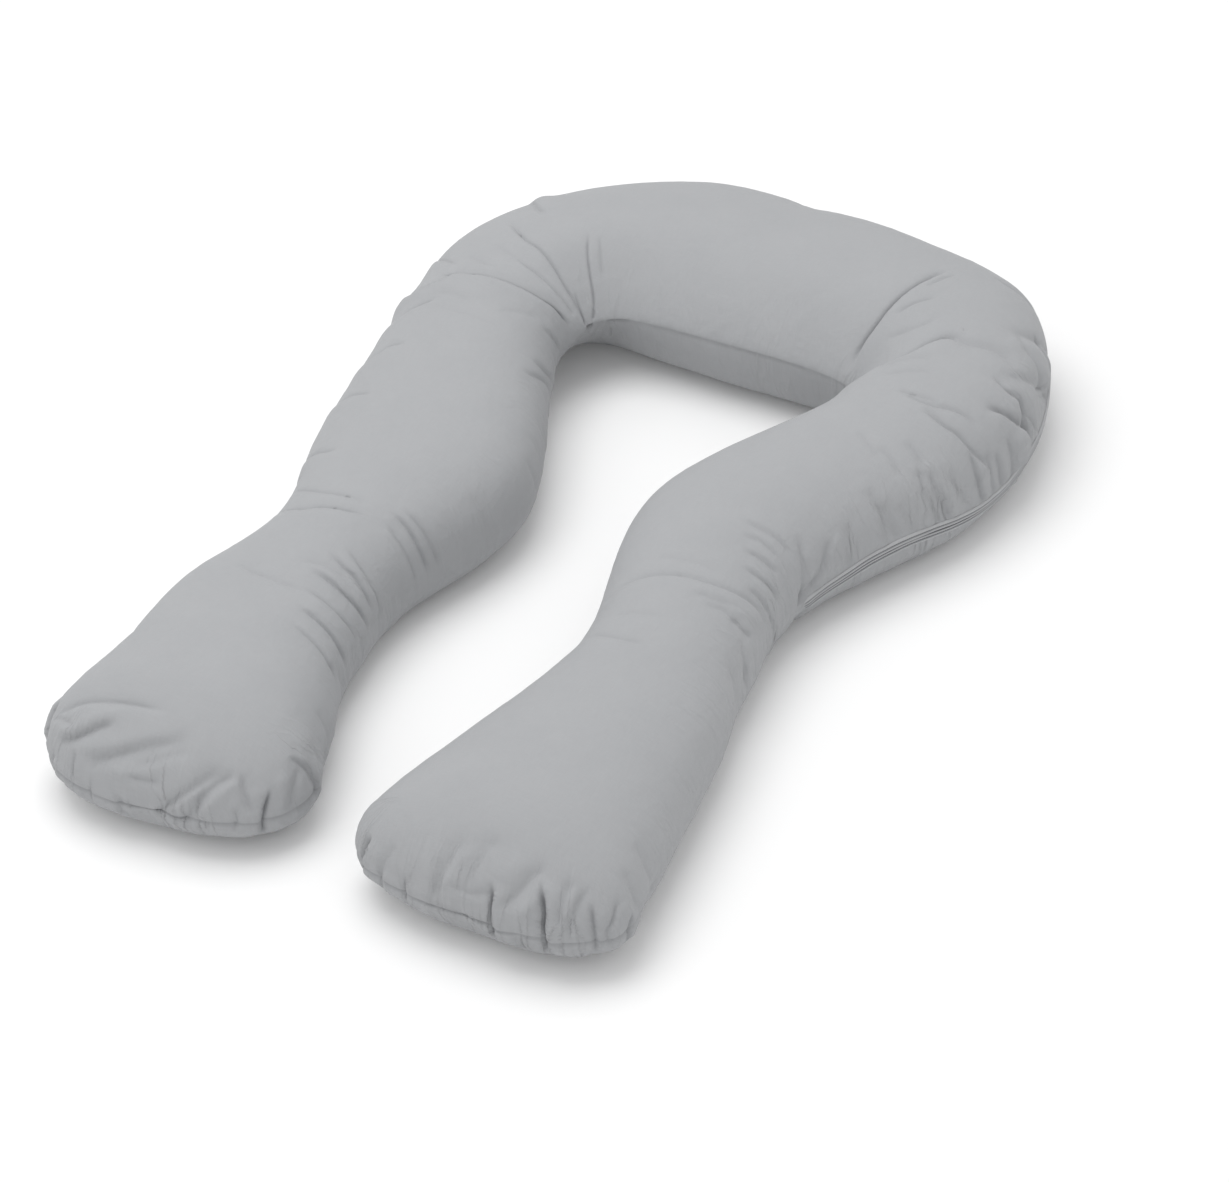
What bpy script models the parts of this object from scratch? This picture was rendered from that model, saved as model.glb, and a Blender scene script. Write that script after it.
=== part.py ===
"""U-shaped body pillow: one filled cotton body and the two cloth lips of its side zip.

Metres, +Z up. The pillow lies on its back panel at z = 0, with the crown of the U
towards +Y, the two feet towards -Y and the zipped arm at +X.
"""

from collections import namedtuple
import math

import bmesh
import bpy
import numpy as np
from mathutils import Vector, kdtree
from mathutils.bvhtree import BVHTree

MM = 0.001

# Filled body
LEFT_FOOT_ROUND = 95      # how far each foot end rounds off past its last section
RIGHT_FOOT_ROUND = 66
FOOT_SQUARENESS = 2.5     # 2 is a half round foot, larger is squarer
CROWN_FULLNESS = 2.2      # superellipse power of the top half of a section
BELLY_FULLNESS = 2.5      # and of its lower half
FLAT_PRESS = 12           # how far the belly would reach below the surface it lies on
FOOT_SECTION_GAP = 130    # length of the last stretch of a foot before it rounds off
TOP_FALL = 140            # length over which the top comes down to the seam at a foot end
BELLY_RISE = 70           # and over which the belly comes up to it
TOP_COLUMNS = 28
BELLY_COLUMNS = 12

# Zip lips
LIP_WIDTH = 9
LIP_THICKNESS = 1.6
LIP_PARTING = 0.4         # gap where the two lips meet
LIP_CLEARANCE = 0.4       # gap between a lip and the body under it
LIP_STEPS = 96            # rows of faces along a lip
LIP_COLUMNS = 3           # and across it

# Sections across the filled tube, in mm, from the left foot round the crown to the right
# foot: where each meets the inner and the outer side seam, its thickness and the height
# of the seam.
Section = namedtuple("Section", "inner_x inner_y outer_x outer_y height seam")

SECTIONS = (
    Section(-50, -525, -390, -550, 162, 60),
    Section(-85, -435, -375, -445, 157, 62),
    Section(-125, -335, -375, -325, 152, 66),
    Section(-135, -195, -330, -175, 157, 70),
    Section(-85, 15, -375, -10, 168, 74),
    Section(-190, 260, -405, 220, 173, 78),
    Section(-230, 390, -415, 405, 177, 80),
    Section(-200, 400, -325, 555, 177, 82),
    Section(-130, 375, -160, 655, 174, 82),
    Section(5, 370, 0, 660, 171, 82),
    Section(115, 365, 140, 645, 174, 82),
    Section(175, 360, 330, 580, 177, 82),
    Section(195, 345, 420, 415, 177, 80),
    Section(185, 270, 415, 230, 173, 78),
    Section(75, 35, 310, 5, 168, 74),
    Section(125, -205, 315, -160, 157, 70),
    Section(115, -295, 345, -290, 152, 66),
    Section(80, -425, 370, -440, 157, 62),
    Section(40, -565, 390, -575, 162, 60),
)
LAST = len(SECTIONS) // 2

# Stations count sections from the middle of the crown, negative on the left arm; the
# rounded feet take one more. Each row of this table is a stretch and the rows of faces along it.
Stretch = namedtuple("Stretch", "start end rows")

STRETCHES = (
    Stretch(-10.0, -9.0, 13),
    Stretch(-9.0, -7.4, 5),
    Stretch(-7.4, -5.7, 15),
    Stretch(-5.7, -4.4, 5),
    Stretch(-4.4, -1.6, 29),
    Stretch(-1.6, 1.4, 7),
    Stretch(1.4, 4.4, 31),
    Stretch(4.4, 5.3, 9),
    Stretch(5.3, 6.6, 10),
    Stretch(6.6, 9.0, 8),
    Stretch(9.0, 10.0, 13),
)

# Main folds, in mm: depth below the filled surface (negative stands proud of it), half
# width, which ends fade out, and the points that the fold runs through.
Fold = namedtuple("Fold", "depth width fades path")

LEFT_SHOULDER_FOLDS = (
    Fold(13, 11, "both", ((-402, 245, 100), (-388, 262, 138), (-335, 285, 170), (-275, 292, 175),
                        (-230, 310, 143), (-225, 335, 105))),
    Fold(-8, 17, "both", ((-405, 268, 70), (-400, 270, 105), (-380, 285, 150), (-335, 305, 172))),
    Fold(-5, 14, "both", ((-250, 275, 168), (-225, 290, 140), (-215, 305, 105))),
    Fold(8, 11, "both", ((-305, 390, 175), (-270, 375, 170), (-245, 370, 150), (-228, 385, 80))),
    Fold(7, 10, "start", ((-230, 450, 170), (-225, 425, 155), (-215, 408, 110), (-215, 405, 60))),
    Fold(-5, 11, "both", ((-212, 455, 170), (-208, 425, 152), (-205, 410, 115))),
    Fold(6, 10, "both", ((-290, 345, 175), (-265, 340, 170), (-240, 340, 146))),
    Fold(6, 10, "both", ((-250, 235, 170), (-215, 250, 148), (-200, 275, 105))),
    Fold(5, 10, "both", ((-195, 178, 152), (-175, 205, 120), (-185, 250, 70))),
    Fold(-6, 18, "both", ((-325, 490, 160), (-345, 510, 120), (-350, 515, 70))),
)
RIGHT_SHOULDER_FOLDS = (
    Fold(8, 11, "both", ((180, 368, 95), (185, 383, 130), (200, 415, 160), (220, 485, 175),
                         (245, 530, 174))),
    Fold(5, 10, "both", ((232, 445, 175), (240, 490, 175), (262, 515, 174))),
    Fold(14, 13, "both", ((200, 335, 120), (230, 325, 150), (252, 340, 166), (280, 368, 175),
                         (335, 410, 176))),
    Fold(-6, 16, "both", ((230, 300, 155), (265, 325, 172), (310, 350, 176))),
    Fold(7, 10, "both", ((310, 275, 175), (345, 278, 170), (390, 280, 150))),
    Fold(8, 11, "both", ((325, 258, 172), (370, 248, 160), (412, 252, 125))),
    Fold(7, 12, "both", ((380, 360, 162), (412, 362, 130), (432, 375, 80))),
    Fold(6, 11, "both", ((375, 395, 163), (405, 388, 138), (425, 400, 90))),
    Fold(6, 12, "both", ((365, 470, 158), (398, 445, 130), (420, 425, 80))),
    Fold(12, 12, "both", ((415, 345, 125), (430, 342, 95), (432, 345, 60), (418, 345, 20))),
    Fold(-7, 16, "both", ((405, 300, 135), (425, 312, 95), (425, 316, 62))),
)
ZIP_END_FOLDS = (
    Fold(7, 11, "start", ((282, 25, 142), (298, 5, 115), (303, -6, 65))),
    Fold(7, 10, "start", ((282, -20, 138), (297, -16, 105), (302, -10, 60))),
    Fold(5, 9, "start", ((315, 42, 115), (312, 22, 90), (304, 0, 58))),
    Fold(11, 14, "none", ((305, -6, 70), (302, -10, 45), (285, -12, 8))),
    Fold(6, 12, "start", ((365, 190, 150), (390, 180, 125), (403, 188, 90))),
    Fold(5, 11, "start", ((372, 172, 145), (382, 163, 120), (392, 160, 90))),
    Fold(5, 12, "start", ((330, 112, 148), (350, 105, 120), (358, 105, 90))),
    Fold(6, 11, "start", ((395, 242, 138), (415, 235, 105), (418, 240, 75))),
)
ARM_FOLDS = (
    Fold(5, 9, "both", ((-315, -195, 125), (-275, -188, 150), (-230, -178, 156))),
    Fold(4, 9, "both", ((-235, -160, 156), (-195, -155, 152), (-160, -150, 135))),
    Fold(8, 10, "both", ((-212, -300, 150), (-175, -285, 135), (-140, -265, 95))),
    Fold(7, 9, "both", ((-180, -255, 142), (-155, -245, 120), (-138, -240, 60))),
    Fold(7, 9, "both", ((-155, -330, 130), (-135, -335, 105), (-120, -345, 70))),
    Fold(6, 9, "both", ((-145, -362, 128), (-122, -367, 105), (-108, -376, 75))),
    Fold(4, 9, "both", ((-260, -315, 150), (-215, -320, 151), (-175, -315, 138))),
    Fold(4, 9, "both", ((-115, 30, 130), (-95, 45, 100), (-90, 52, 60))),
    Fold(6, 9, "both", ((140, -175, 118), (160, -150, 143), (215, -130, 160), (265, -120, 154),
                        (302, -98, 100))),
    Fold(4, 9, "both", ((150, -245, 120), (185, -247, 146), (240, -250, 151))),
    Fold(9, 10, "both", ((285, -165, 142), (302, -150, 122), (312, -138, 95))),
    Fold(5, 9, "both", ((303, -160, 120), (315, -172, 90), (316, -178, 50))),
)
LEFT_FOOT_FOLDS = (
    Fold(7, 12, "both", ((-345, -592, 120), (-295, -587, 150), (-215, -577, 158))),
    Fold(5, 10, "both", ((-348, -598, 110), (-318, -608, 130), (-290, -605, 140))),
    Fold(8, 13, "both", ((-300, -635, 90), (-255, -630, 118), (-215, -613, 135), (-165, -590, 147))),
    Fold(6, 10, "end", ((-185, -642, 60), (-165, -633, 88), (-125, -605, 120))),
    Fold(5, 8, "end", ((-150, -632, 68), (-130, -622, 92), (-110, -605, 115))),
    Fold(4, 9, "end", ((-72, -603, 70), (-82, -592, 105), (-92, -580, 125))),
    Fold(12, 9, "both", ((-52, -540, 110), (-38, -545, 80), (-36, -540, 40), (-50, -530, 10))),
    Fold(-7, 10, "both", ((-48, -520, 110), (-34, -523, 75), (-36, -520, 40))),
    Fold(11, 9, "both", ((-362, -590, 120), (-380, -592, 85), (-378, -590, 45))),
    Fold(-8, 11, "both", ((-370, -565, 120), (-384, -567, 85), (-380, -565, 50))),
    Fold(6, 7, "both", ((-297, -625, 105), (-305, -636, 75), (-300, -632, 35))),
    Fold(5, 7, "both", ((-205, -640, 75), (-207, -640, 50), (-205, -625, 15))),
    Fold(4, 7, "both", ((-165, -635, 75), (-167, -636, 48), (-165, -620, 15))),
    Fold(6, 8, "both", ((-100, -612, 90), (-102, -618, 55), (-105, -605, 18))),
)
RIGHT_FOOT_FOLDS = (
    Fold(9, 10, "both", ((250, -600, 118), (250, -630, 85), (248, -641, 55), (244, -625, 15))),
    Fold(-4, 12, "both", ((272, -622, 115), (270, -637, 80), (266, -640, 50))),
    Fold(9, 10, "both", ((313, -600, 118), (315, -628, 85), (315, -635, 50), (310, -622, 15))),
    Fold(-4, 12, "both", ((335, -608, 115), (338, -622, 80), (336, -625, 50))),
    Fold(6, 8, "both", ((357, -602, 100), (361, -612, 60), (356, -600, 20))),
    Fold(5, 7, "both", ((386, -578, 85), (391, -582, 50), (385, -572, 20))),
    Fold(9, 8, "both", ((75, -592, 110), (66, -602, 70), (70, -595, 25))),
    Fold(5, 15, "end", ((180, -638, 80), (188, -628, 112), (202, -610, 140))),
    Fold(4, 13, "both", ((247, -598, 152), (240, -615, 130), (238, -625, 110))),
    Fold(5, 12, "both", ((305, -612, 128), (282, -628, 102), (262, -638, 75))),
)
FOLDS = (LEFT_SHOULDER_FOLDS + RIGHT_SHOULDER_FOLDS + ZIP_END_FOLDS + ARM_FOLDS
         + LEFT_FOOT_FOLDS + RIGHT_FOOT_FOLDS)
FOLD_STEP = 6             # distance between the points that a fold is traced with
FADE_LENGTH = 0.35        # share of a fold's length over which an end fades out

# Where the two lips meet: station, and angle round the section in degrees, where 180 is
# the outer side seam and more than 180 is below it.
ZipPoint = namedtuple("ZipPoint", "station angle")

ZIP_LINE = (
    ZipPoint(2.3, 186),
    ZipPoint(2.9, 190),
    ZipPoint(3.45, 190),
    ZipPoint(3.8, 187),
    ZipPoint(4.1, 182),
    ZipPoint(4.3, 180),
    ZipPoint(4.5, 182),
    ZipPoint(4.75, 188),
    ZipPoint(5.06, 192),
)


def curve_through(rows, at):
    """Smooth curve through the rows of a table; at counts rows from 0."""
    rows = np.asarray(rows, float)
    count = len(rows)
    first = np.clip(np.floor(at).astype(int), 0, count - 2)
    t = (at - first)[:, None]
    ends = (2 * rows[:1] - rows[1:2], rows, 2 * rows[-1:] - rows[-2:-1])
    before, here, there, after = (np.concatenate(ends)[first + k] for k in range(4))
    leave = (there - before) / 2
    arrive = (after - here) / 2
    return ((2 * t**3 - 3 * t**2 + 1) * here + (t**3 - 2 * t**2 + t) * leave
            + (3 * t**2 - 2 * t**3) * there + (t**3 - t**2) * arrive)


def sections_at(stations):
    """Middle, direction to the inner seam, half width, thickness, seam height and end distance."""
    held = np.clip(stations, -LAST, LAST)
    values = curve_through(np.array(SECTIONS, float) * MM, held + LAST)
    across = (values[:, :2] - values[:, 2:4]) / 2
    half_width = np.linalg.norm(across, axis=1)
    inward = across / half_width[:, None]
    onward = np.stack([-inward[:, 1], inward[:, 0]], 1)
    turn = np.sin(np.clip(np.abs(stations) - LAST, 0, 1) * math.pi / 2)
    rounding = np.where(stations < 0, LEFT_FOOT_ROUND, RIGHT_FOOT_ROUND) * MM
    middle = (values[:, :2] + values[:, 2:4]) / 2
    middle = middle + onward * (np.sign(stations) * rounding * turn)[:, None]
    half_width = half_width * np.maximum(1 - turn ** FOOT_SQUARENESS, 0) ** (1 / FOOT_SQUARENESS)
    to_end = rounding * (1 - turn) + (LAST - np.abs(held)) * FOOT_SECTION_GAP * MM
    return middle, inward, half_width, values[:, 4], values[:, 5], to_end


def rounded_off(to_end, length):
    """Quarter ellipse from 0 at the end of a foot to 1 at the given length from it."""
    return np.sqrt(1 - np.clip(1 - to_end / (length * MM), 0, 1) ** 2)


def filled_surface(stations, angles):
    """Points of the smooth filled form, one row for each station and a column for each angle.

    Angle 0 is the inner side seam, a quarter turn is the crest and a half turn the outer seam.
    """
    middle, inward, half_width, height, seam, to_end = sections_at(stations)
    across = np.cos(angles)
    rise = np.sin(angles)
    power = np.where(rise >= 0, CROWN_FULLNESS, BELLY_FULLNESS)
    across = np.sign(across) * np.abs(across) ** (2 / power)
    rise = np.sign(rise) * np.abs(rise) ** (2 / power)
    top = (height - seam) * rounded_off(to_end, TOP_FALL)
    belly = (seam + FLAT_PRESS * MM) * rounded_off(to_end, BELLY_RISE)
    z = seam[:, None] + rise * np.where(rise >= 0, top[:, None], belly[:, None])
    x = middle[:, :1] + inward[:, :1] * half_width[:, None] * across
    y = middle[:, 1:] + inward[:, 1:] * half_width[:, None] * across
    return np.stack([x, y, np.maximum(z, 0)], -1)


def loft_faces(rows, columns):
    """Quads between the sections of the loft, and a fan of triangles at each foot tip."""
    faces = []
    left_tip = rows * columns
    last_row = left_tip - columns
    for column in range(columns):
        beside = (column + 1) % columns
        for start in range(0, last_row, columns):
            faces.append((start + column, start + columns + column,
                          start + columns + beside, start + beside))
        faces.append((left_tip, column, beside))
        faces.append((left_tip + 1, last_row + beside, last_row + column))
    return faces


def surface_normals(points, faces):
    """Outward unit normals at the points of a closed mesh."""
    normals = np.zeros_like(points)
    for size in (3, 4):
        corners = np.array([face for face in faces if len(face) == size])
        diagonal = points[corners[:, 2]] - points[corners[:, 0]]
        other = points[corners[:, -1]] - points[corners[:, 1]]
        facing = np.cross(diagonal, other) if size == 4 else np.cross(-other, diagonal)
        for corner in range(size):
            np.add.at(normals, corners[:, corner], facing)
    return normals / np.linalg.norm(normals, axis=1)[:, None]


def traced(fold, finder, surface):
    """Evenly spaced points along a fold, drawn onto the filled surface, and their fading."""
    points = [Vector(p) * MM for p in fold.path]
    lengths = [(b - a).length for a, b in zip(points, points[1:])]
    total = sum(lengths)
    steps = max(3, round(total / (FOLD_STEP * MM)))
    trace = []
    share = []
    for step in range(steps + 1):
        left = total * step / steps
        leg = 0
        while leg < len(lengths) - 1 and left > lengths[leg]:
            left -= lengths[leg]
            leg += 1
        point = points[leg].lerp(points[leg + 1], min(left / lengths[leg], 1))
        trace.append(surface[finder.find(point)[1]])
        share.append(step / steps)
    share = np.array(share)
    fade = np.ones(len(share))
    if fold.fades in ("both", "start"):
        fade *= np.clip(share / FADE_LENGTH, 0, 1)
    if fold.fades in ("both", "end"):
        fade *= np.clip((1 - share) / FADE_LENGTH, 0, 1)
    return np.array(trace), fade * fade * (3 - 2 * fade)


def distance_along(points, trace):
    """Distance of each point from a traced line, and where along the line it is nearest."""
    best = np.full(len(points), np.inf)
    where = np.zeros(len(points))
    for index, (start, end) in enumerate(zip(trace, trace[1:])):
        leg = end - start
        t = np.clip((points - start) @ leg / max(leg @ leg, 1e-12), 0, 1)
        gap = np.linalg.norm(points - start - t[:, None] * leg, axis=1)
        nearer = gap < best
        best[nearer] = gap[nearer]
        where[nearer] = index + t[nearer]
    return best, where


def folded(surface, faces):
    """The filled surface with its main folds pressed in along the normals."""
    normals = surface_normals(surface, faces)
    finder = kdtree.KDTree(len(surface))
    for index, point in enumerate(surface):
        finder.insert(point, index)
    finder.balance()
    sunk = np.zeros(len(surface))
    for fold in FOLDS:
        trace, fade = traced(fold, finder, surface)
        gap, where = distance_along(surface, trace)
        strength = np.interp(where, np.arange(len(fade)), fade)
        sunk += fold.depth * MM * strength * np.exp(-((gap / (fold.width * MM)) ** 2))
    result = surface - normals * sunk[:, None]
    result[surface[:, 2] <= 0, 2] = 0
    result[:, 2] = np.maximum(result[:, 2], 0)
    return result


def body_stations():
    """Stations of the body's rows, closer together where the cloth folds."""
    stops = [np.linspace(s.start, s.end, s.rows, endpoint=False) for s in STRETCHES]
    return np.concatenate(stops)[1:]


def body_angles():
    """Angles of the body's columns: the top half, then the belly."""
    top = np.linspace(0, math.pi, TOP_COLUMNS, endpoint=False)
    belly = np.linspace(math.pi, 2 * math.pi, BELLY_COLUMNS, endpoint=False)
    return np.concatenate([top, belly])


def body_form():
    """Points and faces of the folded body, centred in plan, and how far it was moved."""
    stations = body_stations()
    angles = body_angles()
    grid = filled_surface(stations, angles).reshape(-1, 3)
    tips = filled_surface(np.array([-LAST - 1.0, LAST + 1.0]), angles[:1])[:, 0]
    faces = loft_faces(len(stations), len(angles))
    points = folded(np.concatenate([grid, tips]), faces)
    middle = (points.min(axis=0) + points.max(axis=0)) / 2
    middle[2] = 0
    return points - middle, faces, middle


def material(name, colour, roughness):
    """A plain Principled material."""
    made = bpy.data.materials.new(name)
    made.use_nodes = True
    shader = made.node_tree.nodes["Principled BSDF"]
    shader.inputs["Base Color"].default_value = (*colour, 1)
    shader.inputs["Roughness"].default_value = roughness
    shader.inputs["Metallic"].default_value = 0
    return made


def new_piece(name, points, faces, finish, collection):
    """A named, smoothly shaded mesh object of triangles."""
    mesh = bpy.data.meshes.new(name)
    mesh.from_pydata([tuple(p) for p in points], [], faces)
    cage = bmesh.new()
    cage.from_mesh(mesh)
    bmesh.ops.triangulate(cage, faces=cage.faces[:], quad_method="SHORT_EDGE")
    cage.to_mesh(mesh)
    cage.free()
    mesh.shade_smooth()
    mesh.materials.append(finish)
    piece = bpy.data.objects.new(name, mesh)
    collection.objects.link(piece)
    return piece


def zip_frames(middle, steps):
    """Points on the filled surface along the zip, with the outward and upward directions."""
    rows = np.array([(p.station, math.radians(p.angle)) for p in ZIP_LINE])
    fine = curve_through(rows, np.linspace(0, len(rows) - 1, 400))
    tilt = math.radians(4)
    line, above, below = (
        np.array([filled_surface(np.array([s]), np.array([a + turn]))[0, 0] for s, a in fine])
        for turn in (0, -tilt, tilt))
    lengths = np.concatenate([[0], np.cumsum(np.linalg.norm(np.diff(line, axis=0), axis=1))])
    even = np.linspace(0, lengths[-1], steps + 1)
    line, upward = (np.stack([np.interp(even, lengths, values[:, k]) for k in range(3)], 1)
                    for values in (line, above - below))
    along = np.gradient(line, axis=0)
    along /= np.linalg.norm(along, axis=1)[:, None]
    outward = np.cross(upward, along)
    outward /= np.linalg.norm(outward, axis=1)[:, None]
    return line - middle, outward, np.cross(along, outward)


def body_heights(tree, line, outward, upward, spreads):
    """How far the body stands out from the filled surface under each point of a lip."""
    reach = 0.05
    heights = np.zeros((len(line), len(spreads)))
    for row, (point, out, up) in enumerate(zip(line, outward, upward)):
        for column, spread in enumerate(spreads):
            hit = tree.ray_cast(Vector(point + up * spread + out * reach), Vector(-out))[0]
            heights[row, column] = (np.array(hit) - point) @ out
    return heights


def seated_heights(body, clearance):
    """Heights at every second point that keep the flat faces between them clear of the body."""
    heights = body[::2, ::2] + clearance
    for _ in range(12):
        spanned = np.empty_like(body)
        spanned[::2, ::2] = heights
        spanned[1::2, ::2] = (heights[1:] + heights[:-1]) / 2
        spanned[:, 1::2] = (spanned[:, :-1:2] + spanned[:, 2::2]) / 2
        short = np.maximum(body + clearance - spanned, 0)
        short = np.pad(short, 1)
        rows, columns = heights.shape
        raise_by = [short[1 + i:1 + i + 2 * rows:2, 1 + j:1 + j + 2 * columns:2][:rows, :columns]
                    for i in (-1, 0, 1) for j in (-1, 0, 1)]
        heights = heights + np.maximum.reduce(raise_by)
    return heights


def zip_lip(name, body, middle, side, finish, collection):
    """One folded cloth lip, laid on the body; side is 1 above the parting and -1 below it."""
    tree = BVHTree.FromPolygons([v.co for v in body.data.vertices],
                                [p.vertices for p in body.data.polygons])
    frames = zip_frames(middle, 2 * LIP_STEPS)
    spreads = side * MM * (LIP_PARTING / 2 + np.linspace(0, LIP_WIDTH, 2 * LIP_COLUMNS + 1))
    heights = seated_heights(body_heights(tree, *frames, spreads), LIP_CLEARANCE * MM)
    line, outward, upward = (values[::2, None] for values in frames)
    points = line + upward * spreads[None, ::2, None] + outward * heights[..., None]
    rows, columns = heights.shape
    faces = []
    for row in range(rows - 1):
        for column in range(columns - 1):
            corner = row * columns + column
            face = (corner, corner + columns, corner + columns + 1, corner + 1)
            faces.append(face[::-1] if side > 0 else face)
    lip = new_piece(name, points.reshape(-1, 3), faces, finish, collection)
    thicken = lip.modifiers.new("Cloth thickness", "SOLIDIFY")
    thicken.thickness = LIP_THICKNESS * MM
    thicken.offset = 1
    return lip


def build():
    """Clear the file and make the pillow."""
    for old in list(bpy.data.objects):
        bpy.data.objects.remove(old, do_unlink=True)
    collection = bpy.data.collections.new("body_pillow")
    bpy.context.scene.collection.children.link(collection)
    cotton = material("grey_cotton", (0.49, 0.50, 0.52), 0.9)
    placket = material("grey_placket", (0.45, 0.46, 0.48), 0.88)
    points, faces, middle = body_form()
    body = new_piece("pillow", points, faces, cotton, collection)
    zip_lip("zip_lip_upper", body, middle, 1, placket, collection)
    zip_lip("zip_lip_lower", body, middle, -1, placket, collection)


build()
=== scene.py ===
import math
from collections import namedtuple

import bmesh
import bpy
import numpy as np
from mathutils import Matrix, Vector
from mathutils.bvhtree import BVHTree
from mathutils.kdtree import KDTree


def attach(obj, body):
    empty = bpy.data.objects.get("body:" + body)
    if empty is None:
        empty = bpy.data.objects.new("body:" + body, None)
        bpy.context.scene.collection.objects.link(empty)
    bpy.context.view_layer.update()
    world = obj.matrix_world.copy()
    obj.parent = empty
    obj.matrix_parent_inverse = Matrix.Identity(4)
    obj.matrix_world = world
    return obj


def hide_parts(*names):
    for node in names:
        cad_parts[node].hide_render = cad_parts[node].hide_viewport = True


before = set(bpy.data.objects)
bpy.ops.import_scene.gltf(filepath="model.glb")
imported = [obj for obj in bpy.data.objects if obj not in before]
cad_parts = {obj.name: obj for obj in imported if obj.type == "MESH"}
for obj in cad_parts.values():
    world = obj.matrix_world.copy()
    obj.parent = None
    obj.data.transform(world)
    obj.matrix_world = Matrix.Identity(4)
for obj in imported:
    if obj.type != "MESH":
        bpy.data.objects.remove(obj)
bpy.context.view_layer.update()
mm = 0.001
scene = bpy.context.scene
print("frame loaded:", sorted(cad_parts))


def placed(name, data):
    made = bpy.data.objects.new(name, data)
    scene.collection.objects.link(made)
    return made


# ---- camera, floor and light

camera = {
    "azimuth": 33.06,       # degrees, from straight in front of the feet
    "elevation": 38.61,
    "roll": -6.02,
    "distance": 4.962,
    "target": (0.0968, -0.1152, 0.08),
    "focal": 4192,          # focal length in pixels of an image this wide
    "imageWidth": 1229,
    "sensorWidth": 36,
}

studio = {
    "floorSize": 14,
    "floorDrop": 0.4 * mm,
    "floorColour": (0.86, 0.86, 0.86, 1),
    "floorRoughness": 0.9,
    "floorGloss": 0.1,
    "floorGlow": 0.045,
    "skyStrength": 0.79,
    "lights": (
        # name, place, width, power
        ("overheadSoftbox", (-0.6, 0.2, 3.6), 3.2, 63),
        ("frontSoftbox", (-1.4, -1.6, 3.0), 2.6, 10),
    ),
}
white = (1, 1, 1, 1)


def makeCamera():
    azimuth, elevation, roll = (math.radians(camera[name]) for name in ("azimuth", "elevation", "roll"))
    back = Vector((math.sin(azimuth) * math.cos(elevation),
                   -math.cos(azimuth) * math.cos(elevation), math.sin(elevation)))
    level = Vector((math.cos(azimuth), math.sin(azimuth), 0))
    upright = back.cross(level)
    right = level * math.cos(roll) + upright * math.sin(roll)
    up = upright * math.cos(roll) - level * math.sin(roll)
    lens = bpy.data.cameras.new("view")
    lens.sensor_width = camera["sensorWidth"]
    lens.lens = camera["focal"] * camera["sensorWidth"] / camera["imageWidth"]
    holder = placed("view", lens)
    place = Matrix((right, up, back)).transposed().to_4x4()
    place.translation = Vector(camera["target"]) + back * camera["distance"]
    holder.matrix_world = place
    scene.camera = holder


def makeStudio(finish):
    half = studio["floorSize"] / 2
    drop = -studio["floorDrop"]
    mesh = bpy.data.meshes.new("floor")
    mesh.from_pydata([(-half, -half, drop), (half, -half, drop), (half, half, drop), (-half, half, drop)],
                     [], [(0, 1, 2, 3)])
    mesh.materials.append(finish)
    placed("floor", mesh)
    for name, place, width, power in studio["lights"]:
        lamp = bpy.data.lights.new(name, "AREA")
        lamp.shape = "DISK"
        lamp.size = width
        lamp.energy = power
        holder = placed(name, lamp)
        holder.location = place
        holder.rotation_mode = "QUATERNION"
        holder.rotation_quaternion = (-Vector(place)).to_track_quat("-Z", "Y")
    sky = bpy.data.worlds.new("softRoom")
    sky.use_nodes = True
    setSockets(sky.node_tree.nodes["Background"], {"Color": white, "Strength": studio["skyStrength"]})
    scene.world = sky
    scene.view_settings.view_transform = "Standard"


# ---- finishes

class Wire:
    # one output of a material's nodes; sums on it add Math nodes
    def __init__(self, tree, socket=None):
        self.tree = tree
        self.socket = socket

    def node(self, kind, settings, sockets, output=0):
        made = self.tree.nodes.new(kind)
        for name, value in settings.items():
            setattr(made, name, value)
        setSockets(made, sockets)
        return Wire(self.tree, made.outputs[output])

    def maths(self, operation, *values):
        return self.node("ShaderNodeMath", {"operation": operation}, dict(enumerate(values)))

    def __add__(self, other):
        return self.maths("ADD", self, other)

    __radd__ = __add__

    def __sub__(self, other):
        return self.maths("SUBTRACT", self, other)

    def __rsub__(self, other):
        return self.maths("SUBTRACT", other, self)

    def __mul__(self, other):
        return self.maths("MULTIPLY", self, other)

    __rmul__ = __mul__

    def __pow__(self, other):
        return self.maths("POWER", self, other)

    def __gt__(self, other):
        return self.maths("GREATER_THAN", self, other)

    def __abs__(self):
        return self.maths("ABSOLUTE", self)

    def scaled(self, x, y, z=1.0):
        return self.node("ShaderNodeVectorMath", {"operation": "MULTIPLY"}, {0: self, 1: (x, y, z)})

    def part(self, name):
        return self.node("ShaderNodeSeparateXYZ", {}, {0: self}, name)

    def noise(self, detail, roughness=0.5, distortion=0.0):
        # about -1 to 1
        made = self.node("ShaderNodeTexNoise", {"noise_dimensions": "3D"},
                         {"Vector": self, "Scale": 1.0, "Detail": detail, "Roughness": roughness,
                          "Distortion": distortion}, "Fac")
        return made * 2.0 - 1.0

    def clamped(self):
        return self.maths("MINIMUM", self.maths("MAXIMUM", self, 0.0), 1.0)

    def between(self, low, high):
        # the colour this far from low to high
        low, high = (value if isinstance(value, Wire) else (*value, 1) for value in (low, high))
        return self.node("ShaderNodeMix", {"data_type": "RGBA"}, {"Factor": self, 6: low, 7: high}, 2)


def setSockets(node, sockets):
    # a wire is linked, anything else is the socket's own value
    for name, value in sockets.items():
        if isinstance(value, Wire):
            value.tree.links.new(value.socket, node.inputs[name])
        else:
            node.inputs[name].default_value = value


def newMaterial(name):
    made = bpy.data.materials.new(name)
    made.use_nodes = True
    return made, made.node_tree.nodes["Principled BSDF"], Wire(made.node_tree)


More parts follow.
